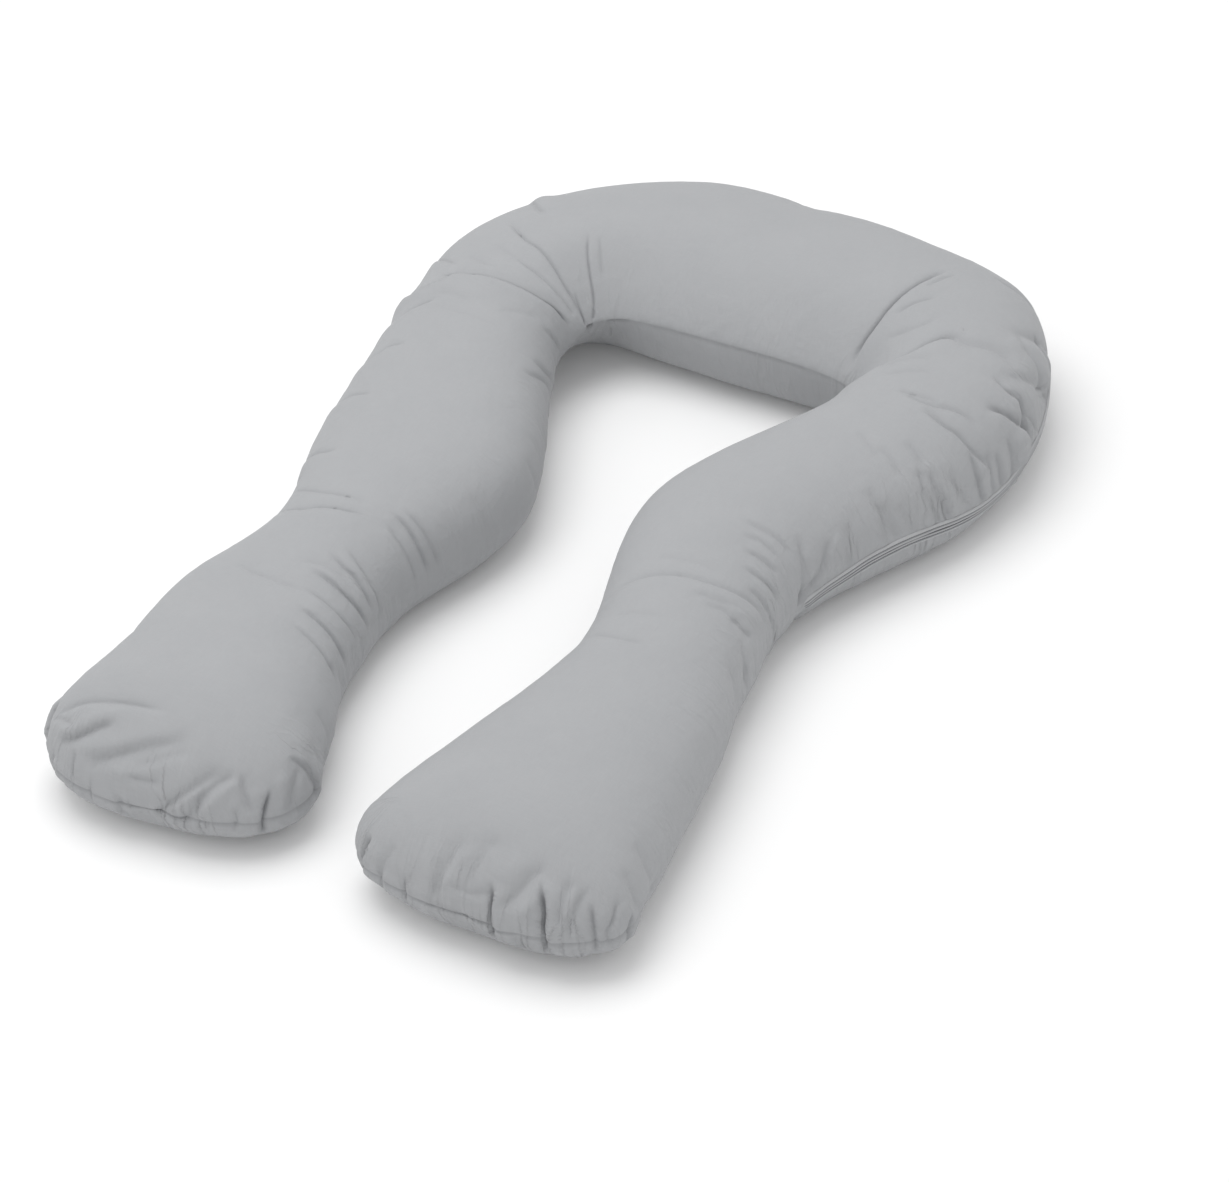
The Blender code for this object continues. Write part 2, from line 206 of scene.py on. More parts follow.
def floorMaterial():
    made, shader, _ = newMaterial("paleFloor")
    setSockets(shader, {"Base Color": studio["floorColour"], "Roughness": studio["floorRoughness"],
                        "Specular IOR Level": studio["floorGloss"], "Emission Color": white,
                        "Emission Strength": studio["floorGlow"]})
    return made


cotton = {
    "light": (0.395, 0.401, 0.411),
    "dark": (0.336, 0.343, 0.356),
    # painted shade: the colour the cloth darkens towards in the folds' troughs and the seam's groove, and
    # how far it goes
    "paintedShade": (0.17, 0.175, 0.185),
    "paintedShadeShare": 0.6,
    "roughness": 0.86,
    "gloss": 0.28,
    "sheen": 0.12,
    "sheenRoughness": 0.45,
    "threadPitch": 0.42 * mm,
    "threadHeight": 0.06 * mm,
    "slubHeight": 0.1 * mm,
    "gatherHeight": 3.2 * mm,
    "crumpleHeight": 2.2 * mm,
    "leastCrumple": 0.28,           # share of the crumples where nothing is gathered
    # how many to a metre, along and across the cloth, or along and in from the seam for the pulls
    "warpSlubs": (1050, 62),
    "weftSlubs": (58, 980),
    "patches": (16, 16),
    "crumples": (26, 20),
    "pulls": (66, 13),
    "finePulls": (150, 22),
    "pullGroups": (9, 9),
}

# what the zip's cloth has otherwise
zipCotton = {
    "light": (0.47, 0.476, 0.486),
    "dark": (0.41, 0.416, 0.428),
    # the zip's painted shade colour and how far it goes
    "paintedShade": (0.09, 0.094, 0.102),
    "paintedShadeShare": 0.9,
}

thread = {
    "light": (0.38, 0.386, 0.396),
    "dark": (0.29, 0.297, 0.31),
    "twist": 900,
    "roughness": 0.7,
}


def cottonMaterial(name, change=None):
    values = dict(cotton, **(change or {}))
    made, shader, start = newMaterial(name)
    cloth, along = (start.node("ShaderNodeUVMap", {"uv_map": layer}, {}, "UV")
                    for layer in ("cloth", "seam"))
    gather, paintedShadeAmount = (start.node("ShaderNodeAttribute", {"attribute_name": kind}, {}, "Fac")
                      for kind in ("gather", "paintedShadeAmount"))

    # plain weave: warp and weft threads take turns on top
    turns = math.pi / values["threadPitch"]
    threads = cloth.scaled(turns, turns)
    warpWave, weftWave = (threads.maths("SINE", threads.part(side)) for side in "XY")
    over = warpWave * weftWave > 0.0
    weave = abs(warpWave) * over + abs(weftWave) * (1.0 - over)

    # thicker and thinner yarns, long and narrow both ways
    warpSlub, weftSlub = (cloth.scaled(*values[kind]).noise(2.0, 0.6) for kind in ("warpSlubs", "weftSlubs"))
    slub = warpSlub * 0.5 + weftSlub * 0.5
    patchy = cloth.scaled(*values["patches"]).noise(3.0, 0.55)

    # pulls that run in from the seams in groups, and soft crumples between them
    pulls = along.scaled(*values["pulls"]).noise(1.0, 0.5, 0.45)
    finePulls = along.scaled(*values["finePulls"]).noise(2.0, 0.5, 0.4)
    grouped = (along.scaled(*values["pullGroups"]).noise(1.0) * 1.6 + 0.55).clamped()
    pulled = (1.0 - abs(pulls)) ** 4.0 * grouped + finePulls * 0.16
    crumple = cloth.scaled(*values["crumples"]).noise(3.0, 0.55, 0.6)

    height = (weave * values["threadHeight"] + slub * values["slubHeight"]
              + pulled * (gather * values["gatherHeight"])
              + crumple * ((gather * 0.7 + values["leastCrumple"]) * values["crumpleHeight"]))
    shade = (slub * 0.62 + patchy * 0.22 + weave * 0.16 + 0.42).clamped()
    # painted shade, darkest in the folds' troughs and along the seam's groove
    paintedShade = (paintedShadeAmount * values["paintedShadeShare"]).clamped()
    setSockets(shader, {
        "Base Color": paintedShade.between(shade.between(values["dark"], values["light"]), values["paintedShade"]),
        "Roughness": slub * 0.04 + patchy * 0.02 + values["roughness"],
        "Normal": start.node("ShaderNodeBump", {}, {"Strength": 1.0, "Distance": 1.0, "Height": height},
                             "Normal"),
        "Sheen Weight": values["sheen"],
        "Sheen Roughness": values["sheenRoughness"],
        "Specular IOR Level": values["gloss"],
    })
    return made


def threadMaterial():
    made, shader, start = newMaterial("sewingThread")
    place = start.node("ShaderNodeTexCoord", {}, {}, "Object")
    strands = place.scaled(thread["twist"], thread["twist"], thread["twist"]).noise(1.0)
    setSockets(shader, {"Base Color": (strands * 0.3 + 0.5).clamped().between(thread["dark"],
                                                                              thread["light"]),
                        "Roughness": thread["roughness"]})
    return made


# ---- the pillow's filled form

pillow = {
    "tableZero": (-7.2, -12.2, 0),   # mm, where the tables' own zero point lies in the frame
    "leftFootRound": 101,
    "rightFootRound": 72,
    "footSquareness": 2.5,
    "crownFullness": 2.35,
    "bellyFullness": 2.5,
    "flatPress": 12,
    "footSectionGap": 130,
    "topFall": 140,
    "bellyRise": 118,
    "innerLift": 15,                 # how much higher the seam runs inside the crown and the bends
    "liftedStations": (-4.8, -2.6),  # minus the station where that starts, and where it is whole
    "edgedStations": (-3.8, -2.4),   # the same for the clear edge inside the crown
    "edgeSteepness": 0.85,           # of the top panel where it meets that edge, below 1
    "rowGap": 8.0,
    "topColumns": 54,
    "bellyColumns": 18,
    "topCrowding": 0.38,             # how much closer the columns stand at the side seams
    "bellyCrowding": 0.62,
    "seamRefining": 14,              # faces nearer the seam than this are split in four
    "unrefinedHeight": 12,           # but not those lower than this
}

# sections across the tube in mm, left foot to right foot: inner and outer side seam, thickness, seam height
sections = (
    (-50, -525, -390, -550, 162, 55),
    (-85, -435, -375, -445, 157, 62),
    (-125, -335, -375, -325, 152, 66),
    (-135, -195, -330, -175, 157, 70),
    (-85, 15, -375, -10, 168, 74),
    (-187, 255, -405, 220, 173, 78),
    (-186, 325, -415, 405, 177, 80),
    (-164, 359, -325, 555, 177, 82),
    (-122, 371, -160, 655, 174, 82),
    (5, 370, 0, 660, 171, 82),
    (115, 365, 140, 645, 174, 82),
    (180, 351, 330, 580, 177, 82),
    (204, 331, 420, 415, 177, 80),
    (188, 266, 415, 230, 173, 78),
    (75, 35, 310, 5, 168, 74),
    (125, -205, 315, -160, 157, 70),
    (115, -295, 345, -290, 152, 66),
    (80, -425, 370, -440, 157, 62),
    (40, -565, 390, -575, 162, 58),
)
# stations count from the crown's middle: the feet's sections are -9 and 9
last = len(sections) // 2

# how far the inner side falls back at the floor, in mm, at every half station from -4 to 2
undercut = (4, 34, 56, 58, 40, 16, 0, -8, -12, -12, -10, -5, 0)
undercutStart = -4


def curveThrough(rows, at):
    rows = np.asarray(rows, float)
    first = np.clip(np.floor(at).astype(int), 0, len(rows) - 2)
    t = (at - first)[:, None]
    ends = (2 * rows[:1] - rows[1:2], rows, 2 * rows[-1:] - rows[-2:-1])
    before, here, there, after = (np.concatenate(ends)[first + k] for k in range(4))
    leave = (there - before) / 2
    arrive = (after - here) / 2
    return ((2 * t**3 - 3 * t**2 + 1) * here + (t**3 - 2 * t**2 + t) * leave
            + (3 * t**2 - 2 * t**3) * there + (t**3 - t**2) * arrive)


def lengthsAlong(points):
    return np.concatenate([[0], np.cumsum(np.linalg.norm(np.diff(points, axis=0), axis=1))])


def pointsAt(places, lengths, points):
    return np.stack([np.interp(places, lengths, points[:, k]) for k in range(3)], 1)


def unit(vectors):
    return vectors / np.maximum(np.linalg.norm(vectors, axis=1), 1e-9)[:, None]


def bell(value, width):
    return np.exp(-((value / width) ** 2))


def smoothStep(share):
    return share * share * (3 - 2 * share)


def easedStep(value, start, end):
    return smoothStep(np.clip((value - start) / (end - start), 0, 1))


def roundedOff(toEnd, length):
    return np.sqrt(1 - np.clip(1 - toEnd / (length * mm), 0, 1) ** 2)


def sectionsAt(stations):
    held = np.clip(stations, -last, last)
    values = curveThrough(np.array(sections, float) * mm, held + last)
    across = (values[:, :2] - values[:, 2:4]) / 2
    halfWidth = np.linalg.norm(across, axis=1)
    inward = across / halfWidth[:, None]
    onward = np.stack([-inward[:, 1], inward[:, 0]], 1)
    turn = np.sin(np.clip(np.abs(stations) - last, 0, 1) * math.pi / 2)
    rounding = np.where(stations < 0, pillow["leftFootRound"], pillow["rightFootRound"]) * mm
    middle = (values[:, :2] + values[:, 2:4]) / 2
    middle = middle + onward * (np.sign(stations) * rounding * turn)[:, None]
    middle = middle + np.array(pillow["tableZero"][:2]) * mm
    power = pillow["footSquareness"]
    halfWidth = halfWidth * np.maximum(1 - turn**power, 0) ** (1 / power)
    toEnd = rounding * (1 - turn) + (last - np.abs(held)) * pillow["footSectionGap"] * mm
    return middle, inward, halfWidth, values[:, 4], values[:, 5], toEnd


def filledSurface(stations, angles, growth=1.0):
    # angle 0 is the inner side seam, a quarter turn the crest, a half turn the outer seam
    middle, inward, halfWidth, height, seam, toEnd = sectionsAt(stations)
    across = np.cos(angles)
    rise = np.sin(angles)
    power = np.where(rise >= 0, pillow["crownFullness"], pillow["bellyFullness"])
    across = np.sign(across) * np.abs(across) ** (2 / power)
    rise = np.sign(rise) * np.abs(rise) ** (2 / power)
    # inside the crown the top panel meets the bottom one at a clear edge
    innerShare = easedStep(across, 0.0, 0.7)
    edged = easedStep(-np.abs(stations), *pillow["edgedStations"]) * innerShare
    lens = np.maximum(1 - across**2, 0) ** pillow["edgeSteepness"]
    rise = np.where(rise >= 0, rise + (lens - rise) * edged, rise)
    lifted = easedStep(-np.abs(stations), *pillow["liftedStations"])
    seam = seam + pillow["innerLift"] * mm * innerShare * lifted
    top = (height - seam) * roundedOff(toEnd, pillow["topFall"])
    belly = (seam + pillow["flatPress"] * mm) * roundedOff(toEnd, pillow["bellyRise"])
    z = np.maximum(seam + rise * np.where(rise >= 0, top, belly), 0)
    # the inner side falls back towards the floor
    amounts = np.array(undercut, float)[:, None] * mm
    halfSteps = np.clip(2 * (stations - undercutStart), 0, len(amounts) - 1)
    fallen = curveThrough(amounts, halfSteps)[:, 0] * (1 - np.minimum(z / seam, 1))
    reach = halfWidth * across - fallen * np.clip(across / 0.6, 0, 1)
    place = middle * growth + inward * reach[:, None]
    return np.concatenate([place, z[:, None]], 1)


def bodyStations():
    fine = np.linspace(-last - 1 + 1e-6, last + 1 - 1e-6, 16001)
    seams = np.stack([filledSurface(fine, np.full(len(fine), turn)) for turn in (0.0, math.pi)])
    step = np.linalg.norm(np.diff(seams, axis=1), axis=2).max(axis=0)
    counted = np.concatenate([[0], np.cumsum(step / (pillow["rowGap"] * mm))])
    rows = int(round(counted[-1]))
    return np.interp(np.arange(1, rows) / rows * counted[-1], counted, fine)


def crowdedAngles(columns, crowding, start):
    t = np.arange(columns) / columns
    return start + math.pi * (t - crowding * np.sin(2 * math.pi * t) / (2 * math.pi))


def bodyAngles():
    top = crowdedAngles(pillow["topColumns"], pillow["topCrowding"], 0)
    belly = crowdedAngles(pillow["bellyColumns"], pillow["bellyCrowding"], math.pi)
    return np.concatenate([top, belly])


class Lattice:
    # rows of points round the tube; anything known at them can be read between them
    def __init__(self, stations, angles):
        self.stations = stations
        self.angles = angles
        self.rows = len(stations)
        self.columns = len(angles)
        self.top = int(np.argmin(np.abs(angles - math.pi)))
        self.stationAt = np.concatenate([np.repeat(stations, self.columns), [-last - 1.0, last + 1.0]])
        self.angleAt = np.concatenate([np.tile(angles, self.rows), [0.0, 0.0]])

    def points(self, growth=1.0):
        return filledSurface(self.stationAt, self.angleAt, growth)

    def faces(self):
        column = np.arange(self.columns)
        nextColumn = (column + 1) % self.columns
        tip = np.full(self.columns, self.rows * self.columns)
        lastRow = (self.rows - 1) * self.columns
        leftFan = np.stack([tip, column, nextColumn], 1)
        rightFan = np.stack([tip + 1, lastRow + nextColumn, lastRow + column], 1)
        return tubeFaces(self.rows, self.columns).tolist() + leftFan.tolist() + rightFan.tolist()

    def closedRows(self, values):
        table = values[:self.rows * self.columns].reshape(self.rows, self.columns, -1)
        return np.concatenate([table, table[:, :1]], 1)

    def read(self, table, stations, angles, firstColumn=0):
        row = np.interp(stations, self.stations, np.arange(self.rows))
        closed = np.append(self.angles, 2 * math.pi)
        column = np.interp(angles, closed, np.arange(len(closed))) - firstColumn
        column = np.clip(column, 0, table.shape[1] - 1)
        r = np.minimum(row.astype(int), self.rows - 2)
        c = np.minimum(column.astype(int), table.shape[1] - 2)
        s = (row - r)[:, None]
        t = (column - c)[:, None]
        near = table[r, c] * (1 - t) + table[r, c + 1] * t
        far = table[r + 1, c] * (1 - t) + table[r + 1, c + 1] * t
        return near * (1 - s) + far * s


def tubeFaces(rows, columns):
    # the quads between rows of points that each run once round a tube
    corner = np.arange((rows - 1) * columns)
    beside = np.where((corner + 1) % columns == 0, corner + 1 - columns, corner + 1)
    return np.stack([corner, corner + columns, beside + columns, beside], 1)


def newMesh(name, points, faces):
    mesh = bpy.data.meshes.new(name)
    mesh.from_pydata(points.tolist(), [], faces)
    mesh.shade_smooth()
    return mesh


def readAll(things, name, width):
    values = np.zeros(len(things) * width, np.float32)
    things.foreach_get(name, values)
    return values.reshape(-1, width).astype(float)


def readCounts(things, name):
    values = np.zeros(len(things), int)
    things.foreach_get(name, values)
    return values


def setPoints(mesh, points):
    mesh.vertices.foreach_set("co", points.astype(np.float32).ravel())
    mesh.update()


def writeAttribute(mesh, name, values):
    made = mesh.attributes.new(name, "FLOAT", "POINT")
    made.data.foreach_set("value", values.astype(np.float32))


def writeMap(mesh, name, values):
    mesh.uv_layers.new(name=name).data.foreach_set("uv", values.astype(np.float32).ravel())


# ---- folds

# depth, half width and the height of the ridge beside a fold, in mm: a positive lip stands on the left
# of the path, seen from outside, and a negative one on its right; fades names the ends that die away
Fold = namedtuple("Fold", "depth width lip fades path")


def foldRows(usual, rows):
    # a row is depth, width, lip, fades where they aren't the usual ones, and the points of the path in mm
    made = []
    for depth, width, lip, *path in rows:
        fades = path.pop(0) if isinstance(path[0], str) else usual
        made.append(Fold(depth, width, lip, fades, path))
    return made


leftShoulderFolds = foldRows("both", (
    (4.4, 7, -1.8, "end", (-385, 188, 122), (-373, 197, 149), (-364, 206, 156), (-346, 219, 165),
     (-331, 232, 170)),
    (3.8, 7, -1.6, "end", (-366, 108, 116), (-355, 120, 151), (-344, 131, 158), (-320, 136, 166)),
    (3.6, 7, -1.4, "end", (-366, 26, 104), (-355, 31, 138), (-335, 34, 151), (-306, 32, 162)),
    (3.6, 7, -1.4, "end", (-354, -68, 90), (-342, -73, 123), (-315, -77, 145), (-287, -77, 157)),
    (7, 4, -3.2, "end", (-404, 236, 104), (-386, 238, 141), (-363, 248, 161), (-347, 260, 168),
     (-337, 275, 171), (-322, 288, 174)),
    (12, 3.4, -3.8, (-359, 278, 164), (-322, 282, 173), (-297, 287, 174), (-270, 291, 171),
     (-250, 294, 165), (-225, 300, 150), (-210, 307, 136), (-199, 311, 119), (-192, 314, 105)),
    (-5, 22, 0, (-405, 230, 90), (-385, 245, 150), (-330, 258, 172), (-280, 264, 175), (-240, 272, 160)),
    (3.8, 6, -2, "start", (-336, 413, 171), (-293, 381, 177), (-263, 371, 174), (-239, 360, 162),
     (-215, 348, 143), (-193, 340, 118), (-185, 336, 103)),
    (2.4, 5.5, -1.2, "start", (-285, 338, 175), (-253, 333, 167), (-234, 331, 157), (-212, 328, 139),
     (-197, 326, 121)),
    (2.2, 3, 1.4, "start", (-226, 432, 174), (-212, 403, 162), (-199, 383, 145), (-184, 363, 121),
     (-178, 350, 103)),
    (1.2, 4, 0, (-210, 433, 172), (-195, 407, 156), (-182, 386, 137)),
    (2, 4, -0.8, "start", (-205, 354, 135), (-191, 344, 116), (-185, 338, 103)),
    (1.6, 8, 0, (-250, 239, 167), (-230, 258, 157), (-211, 275, 139)),
    (2.2, 6, 0.8, (-207, 268, 135), (-197, 279, 111), (-195, 290, 83)),
    (2.6, 5.5, 1.2, (-184, 198, 137), (-175, 219, 106), (-186, 250, 70)),
    (2.2, 5.5, 1, (-175, 162, 144), (-166, 189, 119), (-175, 226, 70)),
    (1.4, 8, 0, (-345, 324, 171), (-315, 314, 175), (-290, 310, 175)),
    (1.4, 8, 0, (-320, 356, 176), (-291, 343, 176), (-262, 340, 170)),
    (1.3, 9, 0, (-345, 238, 173), (-315, 240, 176), (-280, 236, 174)),
    (1.5, 9, 0, (-335, 215, 173), (-290, 212, 175), (-245, 212, 164), (-220, 224, 150)),
    (2.6, 8, 2, (-355, 500, 150), (-345, 485, 160), (-315, 455, 175), (-290, 435, 175)),
    (2.5, 7, -2, (-408, 340, 120), (-400, 335, 140), (-375, 320, 155), (-345, 300, 170)),
    (3, 7, -2, (-403, 262, 70), (-398, 258, 100), (-393, 250, 130), (-365, 238, 155)),
    (-6, 16, 0, (-325, 490, 160), (-345, 510, 120), (-350, 515, 70)),
))

rightShoulderFolds = foldRows("both", (
    (-3.4, 9, 0, (362, 430, 163), (382, 446, 148), (394, 462, 124), (394, 484, 84)),
    (-3.2, 9, 0, (386, 346, 158), (404, 362, 146), (416, 382, 120), (418, 404, 80)),
    (4, 11, 0, "start", (350, 448, 166), (368, 462, 154), (380, 478, 138), (383, 500, 104), (380, 512, 60)),
    (4.4, 11, 0, "start", (380, 368, 162), (396, 384, 150), (409, 406, 130), (410, 440, 100),
     (404, 462, 56)),
    (7, 9, -3, "start", (390, 306, 152), (407, 322, 141), (419, 332, 125), (426, 343, 108), (429, 355, 80)),
    (-4, 14, 0, (400, 330, 148), (416, 352, 125), (424, 372, 100), (424, 388, 60)),
    (-3.6, 12, 0, (380, 420, 148), (394, 440, 126), (398, 460, 96), (396, 470, 50)),
    (9, 6.5, -3, (182, 358, 109), (187, 383, 135), (198, 411, 157), (208, 446, 173), (223, 492, 176),
     (232, 516, 174), (244, 537, 169)),
    (2.4, 5.5, -1.2, (219, 419, 166), (232, 441, 174), (244, 454, 177), (256, 468, 177)),
    (2.4, 5, -1, (236, 479, 177), (244, 503, 175), (253, 526, 171)),
    (2.2, 7, 0, (216, 389, 150), (246, 399, 167), (265, 412, 175), (278, 433, 177)),
    (14, 8.5, -4.4, "end", (224, 306, 140), (236, 330, 148), (250, 340, 158), (269, 354, 169),
     (280, 367, 174), (294, 384, 177), (303, 396, 177), (315, 409, 177)),
    (6.5, 13, 0, (290, 392, 177), (315, 397, 177), (334, 397, 175), (361, 405, 168), (383, 408, 156),
     (395, 407, 146)),
    (2, 8, 0, (240, 318, 160), (275, 335, 170), (310, 350, 176)),
    (1.8, 8, 0, (255, 300, 165), (290, 315, 172), (325, 325, 175)),
    (2.8, 6, -1, (290, 274, 172), (316, 277, 174), (330, 278, 173), (352, 279, 169)),
    (4.2, 7, -1.4, (300, 270, 174), (335, 266, 172), (356, 273, 168), (372, 278, 162), (389, 281, 153),
     (400, 282, 140)),
    (5, 8, -1.6, "start", (335, 255, 171), (367, 249, 160), (385, 250, 150), (402, 250, 134),
     (414, 257, 112)),
    (4, 6.5, -1.8, "start", (375, 360, 164), (400, 354, 149), (413, 361, 133), (422, 366, 115),
     (427, 377, 88)),
    (-2.6, 4.5, 0, (373, 385, 164), (392, 388, 152), (404, 391, 141), (413, 397, 126), (420, 403, 104),
     (418, 424, 70)),
    (4, 8, 0, (364, 457, 158), (386, 442, 146), (403, 437, 126), (415, 426, 103)),
    (3.6, 6, 1.6, (372, 494, 140), (393, 478, 116), (401, 470, 90)),
    (4.6, 8, 1.2, "start", (415, 401, 119), (413, 430, 106), (404, 467, 84), (402, 470, 60)),
    (3, 8, 0, "start", (421, 390, 111), (418, 420, 94), (409, 453, 74)),
    (3, 8, 1, (290, 560, 165), (318, 560, 148), (345, 552, 110)),
    (2.2, 8, 0, (284, 186, 172), (309, 171, 167), (330, 155, 157)),
    (2.6, 8, 0, (319, 178, 166), (341, 166, 154), (357, 156, 139)),
    (2.8, 7, 0, (341, 200, 163), (360, 193, 152), (373, 185, 139)),
))

zipSideFolds = foldRows("start", (
    (3, 7, 0, (285, 17, 140), (297, 8, 123), (305, -3, 99), (306, -14, 64)),
    (-1.8, 4.5, 0, (298, 14, 124), (308, 11, 103), (310, 5, 82), (308, -4, 63)),
    (3.6, 8, 0, (315, 46, 120), (315, 26, 92), (311, 8, 74)),
    (-3.5, 4.1, 0, (319, 56, 118), (320, 42, 99), (317, 27, 79), (314, 17, 70)),
    (2.6, 9, 0, (325, 72, 128), (336, 62, 104), (335, 55, 74)),
    (3.6, 7, 0, (328, 120, 146), (339, 114, 134), (351, 108, 111), (356, 106, 87)),
    (-3.5, 4.1, 0, (332, 118, 142), (350, 103, 107), (355, 104, 81), (356, 106, 69)),
    (4.2, 11, 0, (346, 122, 132), (362, 119, 95), (367, 126, 68)),
    (2.6, 8, 0, (362, 137, 122), (376, 142, 85), (379, 149, 64)),
    (3.6, 6, 0, (364, 182, 148), (378, 168, 121), (387, 169, 101), (393, 175, 77)),
    (-3.2, 4.1, 0, (366, 172, 139), (376, 170, 126), (386, 166, 101), (390, 169, 74)),
    (3.8, 7, 0, (374, 188, 142), (392, 183, 107), (400, 189, 77)),
    (-3.5, 4.6, 0, (364, 194, 150), (385, 188, 127), (398, 191, 101), (404, 199, 71)),
    (2.6, 8, 0, (390, 204, 130), (407, 210, 95), (413, 224, 68)),
    (4.4, 5, 0, (398, 243, 138), (415, 239, 102), (419, 247, 65)),
    (-2.7, 3.9, 0, (412, 258, 120), (418, 245, 93), (420, 253, 61)),
    (3.4, 5.5, 0, (414, 272, 124), (422, 265, 91), (423, 269, 61)),
    (-2.7, 3.9, 0, (419, 268, 112), (424, 268, 79), (423, 278, 53)),
    (3.4, 5.5, 0, (420, 282, 118), (426, 283, 79), (425, 288, 55)),
    (-2.4, 3.9, 0, (422, 288, 112), (427, 291, 76), (426, 298, 53)),
    (3.4, 6, 0, (420, 306, 122), (429, 311, 79), (428, 310, 58)),
    (-7, 14, 0, "both", (424, 328, 116), (430, 333, 79), (429, 331, 48)),
    (11, 8, 0, (412, 360, 136), (426, 356, 108), (429, 352, 88)),
    (8, 10, 0, "both", (427, 352, 100), (430, 350, 60), (420, 348, 20)),
    (2.4, 6, 1, "both", (231, -14, 162), (255, -10, 154), (279, -7, 139), (293, -11, 121)),
    (2.4, 6, 1, "both", (241, -34, 158), (263, -26, 148), (289, -25, 124)),
    (2.6, 5.5, 1, "both", (252, -50, 153), (272, -46, 140), (292, -40, 118)),
    (2.6, 5.5, 1, "both", (262, -74, 147), (283, -68, 130), (295, -60, 112), (301, -56, 90)),
    (2.4, 5.5, 1, "both", (278, -93, 137), (293, -86, 118), (302, -83, 91)),
    (11, 12, 0, "none", (305, -6, 66), (302, -10, 42), (285, -12, 8)),
))

armFolds = foldRows("both", (
    (2.4, 5.2, -1.4, (-323, -140, 119), (-272, -157, 154), (-230, -156, 159), (-199, -154, 157)),
    (2.7, 5.2, -1.5, (-318, -190, 120), (-272, -192, 152), (-242, -183, 157), (-210, -177, 156),
     (-180, -170, 150)),
    (2.9, 4.8, 1.5, (-172, -150, 149), (-151, -152, 136), (-131, -156, 107), (-125, -154, 66)),
    (2.2, 4.8, 1.2, (-166, -137, 148), (-144, -139, 133), (-126, -141, 105), (-120, -140, 66)),
    (2.2, 4.8, -1.2, (-174, -165, 148), (-151, -172, 130), (-135, -175, 100), (-131, -173, 62)),
    (2.4, 4.6, -1.4, (-190, -228, 146), (-153, -241, 122), (-141, -243, 97), (-137, -245, 60)),
    (2.6, 4.6, 1.5, (-200, -246, 149), (-162, -254, 132), (-146, -258, 112), (-138, -261, 80)),
    (3.2, 5.2, 1.9, (-205, -284, 149), (-161, -284, 130), (-144, -281, 109), (-136, -277, 68)),
    (2.6, 4.6, -1.4, (-195, -312, 146), (-157, -312, 128), (-139, -311, 107), (-131, -306, 70)),
    (3, 5, 1.7, (-185, -342, 143), (-150, -342, 126), (-132, -343, 106), (-124, -345, 66)),
    (2.4, 4.6, 1.4, (-176, -371, 142), (-143, -374, 128), (-124, -377, 110), (-112, -387, 76)),
    (1.9, 8.1, -0.6, (-296, -310, 145), (-236, -320, 151), (-178, -315, 139)),
    (1.9, 8.1, -0.6, (-222, -276, 151), (-186, -267, 144), (-160, -262, 124)),
    (1.6, 8.1, 0, (-102, 42, 118), (-91, 42, 92), (-94, 54, 56)),
    (1.4, 9.5, 0, (-122, -60, 130), (-103, -62, 100), (-99, -58, 62)),
    (3.2, 6.8, -1.2, (140, -178, 118), (155, -156, 141), (185, -140, 155), (215, -130, 160),
     (250, -124, 158), (276, -114, 145), (298, -100, 110), (305, -95, 68)),
    (1.9, 6.8, -0.6, (152, -243, 130), (200, -250, 146), (238, -250, 151)),
    (3.2, 7, 0.8, (287, -154, 137), (297, -148, 127), (304, -144, 114), (309, -139, 100)),
    (-1.8, 7, 0, (272, -137, 146), (288, -130, 134), (300, -120, 115), (306, -110, 92)),
    (3, 8.1, 0.9, (304, -158, 117), (314, -169, 95), (316, -177, 58)),
    (2.6, 8.1, 0.9, (299, -87, 102), (302, -76, 66), (295, -65, 28)),
    (1.9, 6.8, 0.6, (255, -160, 155), (280, -150, 144), (301, -139, 119)),
    (1.7, 8.1, 0, (310, -200, 117), (320, -210, 91), (325, -216, 62)),
    (2.2, 6.8, 0.6, (235, -150, 160), (270, -140, 150), (296, -121, 124)),
    (1.4, 8.1, 0, (168, -110, 154), (215, -104, 161), (258, -100, 154)),
    (1.4, 8.1, 0, (163, -212, 139), (200, -205, 151), (238, -200, 155)),
    (1.7, 9.5, 0, (95, 60, 60), (88, 62, 100), (105, 66, 130)),
    (1.6, 9.5, 0, (-340, -260, 62), (-345, -262, 100), (-320, -265, 130)),
    (1.9, 9.5, 0.6, (-333, -180, 60), (-337, -184, 98), (-312, -186, 128)),
    (1.7, 9.5, 0, (-352, -110, 60), (-354, -112, 100), (-330, -112, 135)),
))

